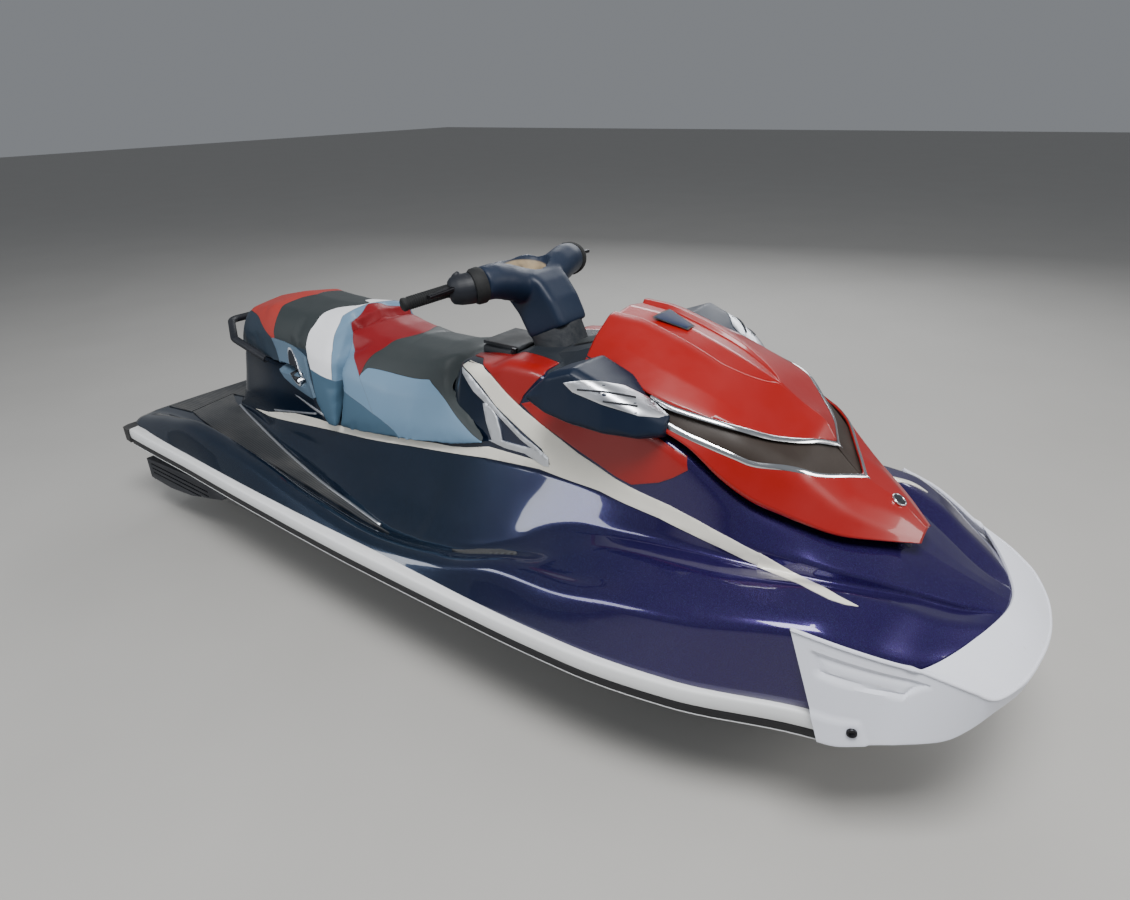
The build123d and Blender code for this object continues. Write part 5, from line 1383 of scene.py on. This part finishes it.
def seat_point(x, angle, side):
    """A point just under the skin of a seat cover, at a distance ahead and an angle round it."""
    direction = Vector((0, side * math.sin(angle), math.cos(angle)))
    origin = Vector((x / 1000 - HALF_LENGTH / 1000, 0, SEAT_AXIS_Z)) + direction * 0.6
    hit, normal = seat_tree.ray_cast(origin, -direction)[:2]
    return None if hit is None else hit - normal * 0.0004


def tube(name, points, radius, sides=8):
    """A round cord or tube swept along points in metres."""
    points = [Vector(p) for p in points]
    rows, across = [], None
    for i, point in enumerate(points):
        along = (points[min(i + 1, len(points) - 1)] - points[max(i - 1, 0)]).normalized()
        across = (along.orthogonal() if across is None else across - along * across.dot(along)).normalized()
        other = along.cross(across)
        r = radius[i] if isinstance(radius, (list, tuple)) else radius
        rows.append([point + (across * math.cos(a) + other * math.sin(a)) * r
                     for a in np.linspace(0, 2 * math.pi, sides, endpoint=False)])
    return skin(name, rows, close=True, caps=True)


for word, side in SIDES:
    bolt = turned(f"flange_bolt_{word}", [(11, -4), (11, 1), (9, 2), (6, 2), (5.4, -2), (0.05, -2)],
                  (2927, side * 433, 358), (0.35, side, 0.0), 24)
    finish_piece(bolt, "hull_body", "fitting_steel", anodised)
bead = tube("bumper_crest_bead", bead_points, 0.0042)
finish_piece(bead, "hull_body", "bumper_white", bumper_white)
# points, from, to, whether it is drawn over the angle, material
BORDERS = {"white_aft": (WHITE_AFT, 0.14, 1.54, True, welt_black),
           "white_fore": (WHITE_FORE, 0.2, 1.62, True, welt_blue),
           "crest_aft": (CREST_AFT, 0.05, 1.90, True, welt_blue),
           "crest_fore": (CREST_FORE, 0.0, 1.47, True, welt_black),
           "blue_fore": (BLUE_FORE, 1.225, 1.74, True, welt_black),
           "blue_top": (BLUE_TOP, 1180, 1491, False, welt_black),
           "seam_low": (SEAM_LOW, 936, 1367, False, welt_blue),
           "tail_in": (TAIL_IN, 0.0, 1.24, True, welt_black),
           "tail_side": (TAIL_SIDE, 400, 702, False, welt_black)}
for label, (points, start, end, over_angle, material) in BORDERS.items():
    for word, side in SIDES:
        path = []
        for t in np.linspace(start, end, 70):
            value = float(fair(*zip(*points), t))
            where = seat_point(value, t, side) if over_angle else seat_point(t, value, side)
            if where is not None and (not path or (where - path[-1]).length < 0.06):
                path.append(where)
        if len(path) > 4:
            cord = tube(f"welt_{label}_{word}", path, 0.0012)
            finish_piece(cord, "hull_body", "seat_vinyl", material)

# %% [markdown]
# A padded side piece with a plain oval sits low on each flank of the rear seat. The oval is left
# blank.

# %% Rear side pads
REAR_PAD = [(691, 776), (760, 774), (835, 764), (900, 744), (925, 700), (950, 640), (960, 612),
            (948, 602), (930, 604), (860, 626), (793, 655), (750, 700), (715, 748)]


def on_seat(proud):
    """A point of the seat's flank; under the seat's lower edge the line runs on smoothly."""
    def surface(x, z, side):
        origin = Vector(((x - HALF_LENGTH) / 1000, side * 0.6, z / 1000))
        hit = seat_tree.ray_cast(origin, Vector((0, -side, 0)))[0]
        below = float(np.interp(z, (600, 640, 670, 700), (240, 245, 243, 236)))
        y = 1000 * abs(hit.y) if hit is not None else below
        return (x, side * (y + proud), z)
    return surface


for piece in laid("rear_side_pad", REAR_PAD, on_seat(9), 16, 12, 4.0):
    piece.modifiers["soft_edges"].segments = 4
    finish_piece(piece, "hull_body", "seat_vinyl", pad_vinyl)
OVAL_AT, OVAL_HALF, OVAL_TURN = (846, 701), (66, 19), (0.62, 0.78)      # its turn: cosine and sine
oval, rim = [], []
for k in range(28):
    a = 2 * math.pi * k / 28
    u, w = OVAL_HALF[0] * math.cos(a), OVAL_HALF[1] * math.sin(a)
    x, z = u * OVAL_TURN[0] + w * OVAL_TURN[1], w * OVAL_TURN[0] - u * OVAL_TURN[1]
    oval.append((OVAL_AT[0] + x, OVAL_AT[1] + z))
    rim.append((OVAL_AT[0] + x * 1.13, OVAL_AT[1] + z * 1.13))
finish_all(laid("side_pad_oval", oval, on_seat(12.5), 8, 3, 0.6), "hull_body", "seat_vinyl", dash_black)
finish_all(laid("side_pad_oval_rim", rim, on_seat(11.5), 8, 3, 0.6), "hull_body", "vent_silver", silver_trim_and_highlight)
print("side pads and blank ovals laid")

# %% [markdown]
# ## Steering
# The column cover, the switch housings and the mirror pods are soft moulded forms. The CAD solids have their
# true places and facets. The pods get a finely remeshed copy with its edges relaxed, and the column cover and
# the switch housings are built anew from sections and tubes, then remeshed and relaxed in the same way.

# %% Fusing forms
RAKE = math.radians(25)
COS, SIN = math.cos(RAKE), math.sin(RAKE)
COLUMN_FOOT = (1860, 930)        # where the steering axis leaves its base, ahead and up


def steer(fore, y, h):
    """A point of the steering column: ahead of its axis, across, and up along it."""
    return (COLUMN_FOOT[0] + fore * COS - h * SIN, y, COLUMN_FOOT[1] + fore * SIN + h * COS)


def fused(name, pieces, voxel, smooth):
    """One soft form from several closed ones that overlap."""
    bm = bmesh.new()
    for piece in pieces:
        bm.from_mesh(piece.data)
        bpy.data.objects.remove(piece)
    mesh = bpy.data.meshes.new(name)
    bm.to_mesh(mesh)
    bm.free()
    form = bpy.data.objects.new(name, mesh)
    bpy.context.scene.collection.objects.link(form)
    return apply_modifiers(relax(remesh(form, voxel), smooth))


# %% Column cover
# height and reach of the front plane, height and reach of the back plane, half widths of both
COLUMN = [(12, 77, 12, -56, 62, 72), (30, 78, 30, -58, 64, 74), (90, 74, 90, -60, 66, 78),
          (150, 58, 152, -74, 68, 86), (176, 42, 205, -84, 72, 92), (190, 22, 256, -74, 72, 92)]
rows = []
for h_fore, fore, h_aft, aft, half_front, half_back in COLUMN:
    half = rounded([(0, fore, 0), (half_front, fore, 16), (half_back, aft, 22), (0, aft, 0)], 4, 3)
    ring = list(half) + [(-y, f) for y, f in half[::-1][1:-1]]
    rows.append([steer(f, y, h_fore + (h_aft - h_fore) * (fore - f) / (fore - aft)) for y, f in ring])
forms = [skin("column_core", place(rows), close=True, caps=True)]
ARM = [(1780, 20, 1066), (1778, 70, 1076), (1773, 120, 1093), (1766, 165, 1103), (1757, 204, 1101)]
ARM_RADII = [0.052, 0.050, 0.050, 0.049, 0.047]
for side in (1, -1):
    forms.append(tube("arm", place([(x, side * y, z) for x, y, z in ARM]), ARM_RADII, 24))
SADDLE = [(1752, y, 1080) for y in (-118, -60, 0, 60, 118)]
forms.append(tube("saddle", place(SADDLE), [0.044, 0.052, 0.053, 0.052, 0.044], 24))
column = fused("column_cover", forms, 0.0045, 22)
BOWL_AT, BOWL_DEPTH = 1744, 34
points = np.array([v.co for v in column.data.vertices])
fore, across, high = points[:, 0] * 1000 + HALF_LENGTH, points[:, 1] * 1000, points[:, 2] * 1000
away = ((fore - BOWL_AT) / 55) ** 2 + (across / 80) ** 2
bowl = 1112 + (1801 - fore) * 0.17 - 8 - BOWL_DEPTH * (1 - away)
points[:, 2] = np.where((away < 1.1) & (high > 1068), np.minimum(high, bowl), high) / 1000
column.data.vertices.foreach_set("co", points.ravel())
column.data.update()

# %% [markdown]
# The top of the cover is sun-bleached to a sandy tone inside the hollow, where hands and spray wear
# it. The mask is the distance from the middle of the hollow, on faces that look up.

# %% Column finish and collar
tree, shader = pad_navy.node_tree, pad_navy.node_tree.nodes["Principled BSDF"]
where = separate(tree)
away_x = maths(tree, "DIVIDE", maths(tree, "ADD", where["X"], (HALF_LENGTH - BOWL_AT) / 1000), 0.055)
away_y = maths(tree, "DIVIDE", where["Y"], 0.078)
away = maths(tree, "ADD", maths(tree, "POWER", away_x, 2.0), maths(tree, "POWER", away_y, 2.0))
facing = separate(tree, tree.nodes.new("ShaderNodeTexCoord").outputs["Normal"])["Z"]
patchy = remap(tree, noise(tree, object_space(tree), 26.0, 4.0), 0.3, 0.6, 0.5, 1.0)
sandy = times(tree, remap(tree, away, 1.0, 0.85, smooth=True), remap(tree, where["Z"], 1.065, 1.085),
              remap(tree, facing, 0.15, 0.35), patchy)
before = shader.inputs["Base Color"].links[0].from_socket
feed(tree, shader.inputs["Base Color"], mix_colours(tree, sandy, before, (0.30, 0.23, 0.14)))
finish_piece(even_out(column, 2), "handlebar_body", "pad_navy", pad_navy, ("steering_pad",))
SKIRT = [(58, -12), (64, -6), (64, 0), (60, 4), (64, 8), (60, 12), (64, 16), (60, 20), (50, 24)]
skirt = turned("column_skirt", SKIRT, steer(2, 0, 8), (-SIN, 0, COS))
finish_piece(skirt, "handlebar_body", "column_black", dash_black)
print("column", len(column.data.polygons), "faces")

# %% [markdown]
# At each end of the cover sits a rubber collar, then the switch housing with its buttons, and then
# the ribbed grip. The grip's profile is turned on its own axis.

# %% Collars, switch housings and grips
GRIP_IN, GRIP_OUT = (1698, 254, 1090), (1652, 398, 1072)
COLLAR = [(1759, 198, 1100), (1756, 205, 1099), (1748, 222, 1096), (1745, 228, 1095)]
HOUSING = [(1746, 216, 1094), (1734, 230, 1092), (1716, 248, 1089), (1702, 262, 1087), (1697, 268, 1086)]
TOP_BUTTON, SIDE_BUTTON = [(1716, 240, 1112), (1702, 246, 1134)], [(1712, 246, 1076), (1674, 252, 1076)]
for word, side in SIDES:
    flip = lambda p: (p[0], side * p[1], p[2])
    run = lambda path: place([flip(p) for p in path])
    collar = tube(f"collar_{word}", run(COLLAR), [0.046, 0.050, 0.049, 0.044], 32)
    finish_piece(crisp(collar, 50), "handlebar_body", "grip_rubber", grip_rubber)
    forms = [tube("housing", run(HOUSING), [0.043, 0.043, 0.041, 0.036, 0.026], 24),
             tube("button", run(TOP_BUTTON), 0.011, 16), tube("button", run(SIDE_BUTTON), 0.013, 16)]
    housing = fused(f"switch_housing_{word}", forms, 0.003, 4)
    finish_piece(even_out(housing, 1), "handlebar_body", "grip_rubber", dash_black)
    axis = Vector(flip(GRIP_OUT)) - Vector(flip(GRIP_IN))
    profile = [(0.05, 0), (17.5, 0), (18, 1.5), (18, 5), (16.6, 6)]
    for k in range(20):
        start = 8 + k * 6.4
        profile += [(16.4, start), (17.8, start + 1.4), (17.8, start + 3.4), (16.4, start + 4.8)]
    length = axis.length
    profile += [(17.0, length - 12), (18, length - 10), (18, length - 3), (15, length), (0.05, length + 0.5)]
    grip = turned(f"ribbed_grip_{word}", profile, flip(GRIP_IN), axis, 36)
    finish_piece(crisp(grip, 40), "handlebar_body", "grip_rubber", grip_rubber,
                 ("grip_left",) if side > 0 else ("grip_right",))
print("grips and housings on both sides")

# %% [markdown]
# The mirror pods keep the CAD form with its edges relaxed, since their job is to look moulded.

# %% Mirror pods
pods = even_out(rounded_copy("mirror_pods_soft", "mirror_pods", voxel=0.004, smooth=6), 2)
finish_piece(pods, "hood_body", "pod_navy", pod_navy, ("mirror_pods",))

# %% Silver inset on each pod
pod_tree = tree_of(pods)
POD_PANEL = [(2155, 934), (2215, 955), (2273, 970), (2323, 958), (2384, 924), (2374, 910), (2341, 900),
             (2260, 904), (2183, 916)]
POD_LINES = [((2196, 926), (2312, 945)), ((2262, 913), (2330, 923))]
POD_BREADTH, LEAN = 0.34, 0.55


def on_pod(proud):
    """A point of the pod found along a line that comes in from the side and above."""
    def surface(x, z, side):
        toward = Vector((0, -side, -LEAN)).normalized()
        hit, drop = None, 0
        while hit is None and drop < 120:      # past the pod's crest the line is lowered until it meets it
            start = Vector(((x - HALF_LENGTH) / 1000, side * POD_BREADTH, (z - drop) / 1000)) - toward * 0.3
            hit, normal = pod_tree.ray_cast(start, toward)[:2]
            drop += 3
        where = hit + normal * proud / 1000
        return (where.x * 1000 + HALF_LENGTH, where.y * 1000, where.z * 1000)
    return surface


finish_all(laid("pod_panel", POD_PANEL, on_pod(1.5), step=12), "hood_body", "vent_silver", silver_trim_and_highlight)
for row, ends in enumerate(POD_LINES):
    for word, side in SIDES:
        path = [on_pod(2.2)(*p, side) for p in np.linspace(*ends, 14)]
        line = tube(f"pod_line_{row}_{word}", place(path), 0.0024)
        finish_piece(line, "hood_body", "vent_silver", dash_black)
print("pod panels laid")

# %% [markdown]
# ## Smaller pieces
# The glove box well gets a coaming under its lid, and the instrument display its glass and rim.

# %% Glove box coaming
def loop(x0, x1, half, z, radius=10):
    """A rounded rectangle in plan at one height."""
    out = []
    for cx, cy, start in ((x1 - radius, half - radius, 0), (x0 + radius, half - radius, 90),
                          (x0 + radius, radius - half, 180), (x1 - radius, radius - half, 270)):
        for k in range(5):
            a = math.radians(start + 22.5 * k)
            out.append((cx + radius * math.cos(a), cy + radius * math.sin(a), z))
    return out


# aft edge, fore edge, half width, height, from the outer foot over the rim and down the well
COAMING = [(1636, 1752, 92, 852), (1637, 1751, 91, 875), (1640, 1750, 89, 878.5), (1652, 1738, 71, 878.5),
           (1654, 1736, 69, 876), (1648, 1742, 77, 866), (1648, 1742, 78, 764)]
loops = [loop(*row) for row in COAMING]
coaming = crisp(skin("glovebox_coaming", place(loops), close=True), 40)
finish_piece(coaming, "hull_body", "display_black", dash_plastic)

# %% Display glass and rim
DISPLAY_X, DISPLAY_HALF = (1966, 2050), 62
# The instrument housing under them
HOUSING_LINES = Lines("x crown_z top_z top_y",
                      [(1946, 926, 916, 110), (2020, 950, 938, 128), (2096, 984, 968, 132)])
screen, tree, shader = finish("display_screen", Coat_Weight=0.3, Coat_Roughness=0.25)
tone = noise(tree, object_space(tree), 14.0, 2.0)
feed(tree, shader.inputs["Base Color"],
     mix_colours(tree, tone, (0.006, 0.008, 0.010), (0.03, 0.035, 0.035)))
feed(tree, shader.inputs["Roughness"], remap(tree, tone, 0, 1, 0.28, 0.40))
for name, proud, grow, material in (("display_rim", 2.2, 5, black_rubber), ("display_glass", 3.2, 0, screen)):
    rows = []
    for x in np.linspace(DISPLAY_X[0] - grow, DISPLAY_X[1] + grow, 9):
        crown, top, half = (float(np.interp(x, HOUSING_LINES.x, HOUSING_LINES.columns[key]))
                            for key in ("crown_z", "top_z", "top_y"))
        rows.append([(x, y, crown + (top - crown) * abs(y) / half + proud)
                     for y in np.linspace(-DISPLAY_HALF - grow, DISPLAY_HALF + grow, 13)])
    finish_piece(skin(name, place(rows)), "hull_body", "display_black", material)
print("coaming and display laid")

# %% [markdown]
# The remaining parts are right as they come from CAD: castings, tubes, plates and rubber. They get
# their finish through the material slots of their objects, and hard edges get a small bevel.

# %% Finishes and edges of the CAD parts
# material, and the width of the bevel on the hard edges
CAD_FINISH = {
    "boarding_step": (anodised, 0), "step_brackets": (cast_metal, 1.5), "bow_eye": (steel, 0),
    "stern_eyes": (steel, 0), "drain_plugs": (dash_black, 1.2), "fuel_cap": (dash_black, 3.0),
    "display": (dash_plastic, 3.0), "glovebox_lid": (dash_plastic, 3.0), "glovebox_hinge": (anodised, 0.6),
    "hood_hinge": (steel, 0.6), "hood_knuckle": (steel, 1.0), "impeller": (impeller_steel, 0),
    "intake_grate": (sheet_steel, 1.0), "pump_housing": (cast_metal, 1.5),
    "steering_nozzle": (cast_metal, 1.2), "reverse_gate": (cast_metal, 1.5),
    "ride_plate": (cast_metal, 1.5), "sponsons": (sponson_black, 3.0),
    "stern_bumper": (black_rubber, 2.5), "steering_base": (dash_plastic, 3.0), "handlebar": (anodised, 0),
    "lever_left": (anodised, 1.2), "lever_right": (anodised, 1.2), "grab_rail": (dash_black, 0)}
for node, (material, bevel_mm) in CAD_FINISH.items():
    obj = nodes[node]
    for material_slot in obj.material_slots:
        material_slot.material = material
    if bevel_mm:
        soften(obj, bevel_mm / 1000, 2, 28)
print("CAD parts finished:", len(CAD_FINISH), "of", len(nodes))

# %% [markdown]
# ## Stage
# A pale flat floor, and soft light from large lamps, as in a photo studio. Glossy gel coat shows
# its lamps, so they are large and even.

# %% Floor and light
floor = shape("floor", [(-30, -30, 0), (30, -30, 0), (30, 30, 0), (-30, 30, 0)], [(0, 1, 2, 3)])
floor_material, tree, shader = finish("studio_floor")
blotches = noise(tree, object_space(tree), 1.5, 4.0)
feed(tree, shader.inputs["Base Color"], mix_colours(tree, blotches, (0.40, 0.39, 0.37), (0.45, 0.44, 0.42)))
feed(tree, shader.inputs["Roughness"], remap(tree, blotches, 0, 1, 0.65, 0.8))
floor.data.materials.append(floor_material)


def lamp(name, where, aim, size, watts, tint=(1, 1, 1)):
    light = bpy.data.objects.new(name, bpy.data.lights.new(name, "AREA"))
    light.data.shape, light.data.size, light.data.size_y = "RECTANGLE", size[0], size[1]
    light.data.energy, light.data.color = watts, tint
    light.location = where
    light.rotation_euler = (Vector(aim) - Vector(where)).to_track_quat("-Z", "Y").to_euler()
    bpy.context.scene.collection.objects.link(light)


lamp("overhead", (1.6, -1.6, 4.4), (0, 0, 0.4), (2.2, 1.6), 260)
lamp("window_side", (-2.6, -4.4, 2.4), (0, 0, 0.5), (3, 1.0), 90, (0.94, 0.97, 1.0))
lamp("port_side", (-1.4, 4.6, 3.2), (0, 0, 0.5), (4.5, 1.2), 150, (0.96, 0.98, 1.0))
lamp("bow_side", (4.6, 1.6, 2.4), (0.8, 0, 0.5), (2, 1.2), 70, (1.0, 0.98, 0.95))
world = bpy.context.scene.world or bpy.data.worlds.new("studio")
bpy.context.scene.world = world
world.use_nodes = True
sky = world.node_tree.nodes["Background"].inputs
sky["Color"].default_value = (0.80, 0.84, 0.90, 1)
sky["Strength"].default_value = 0.27
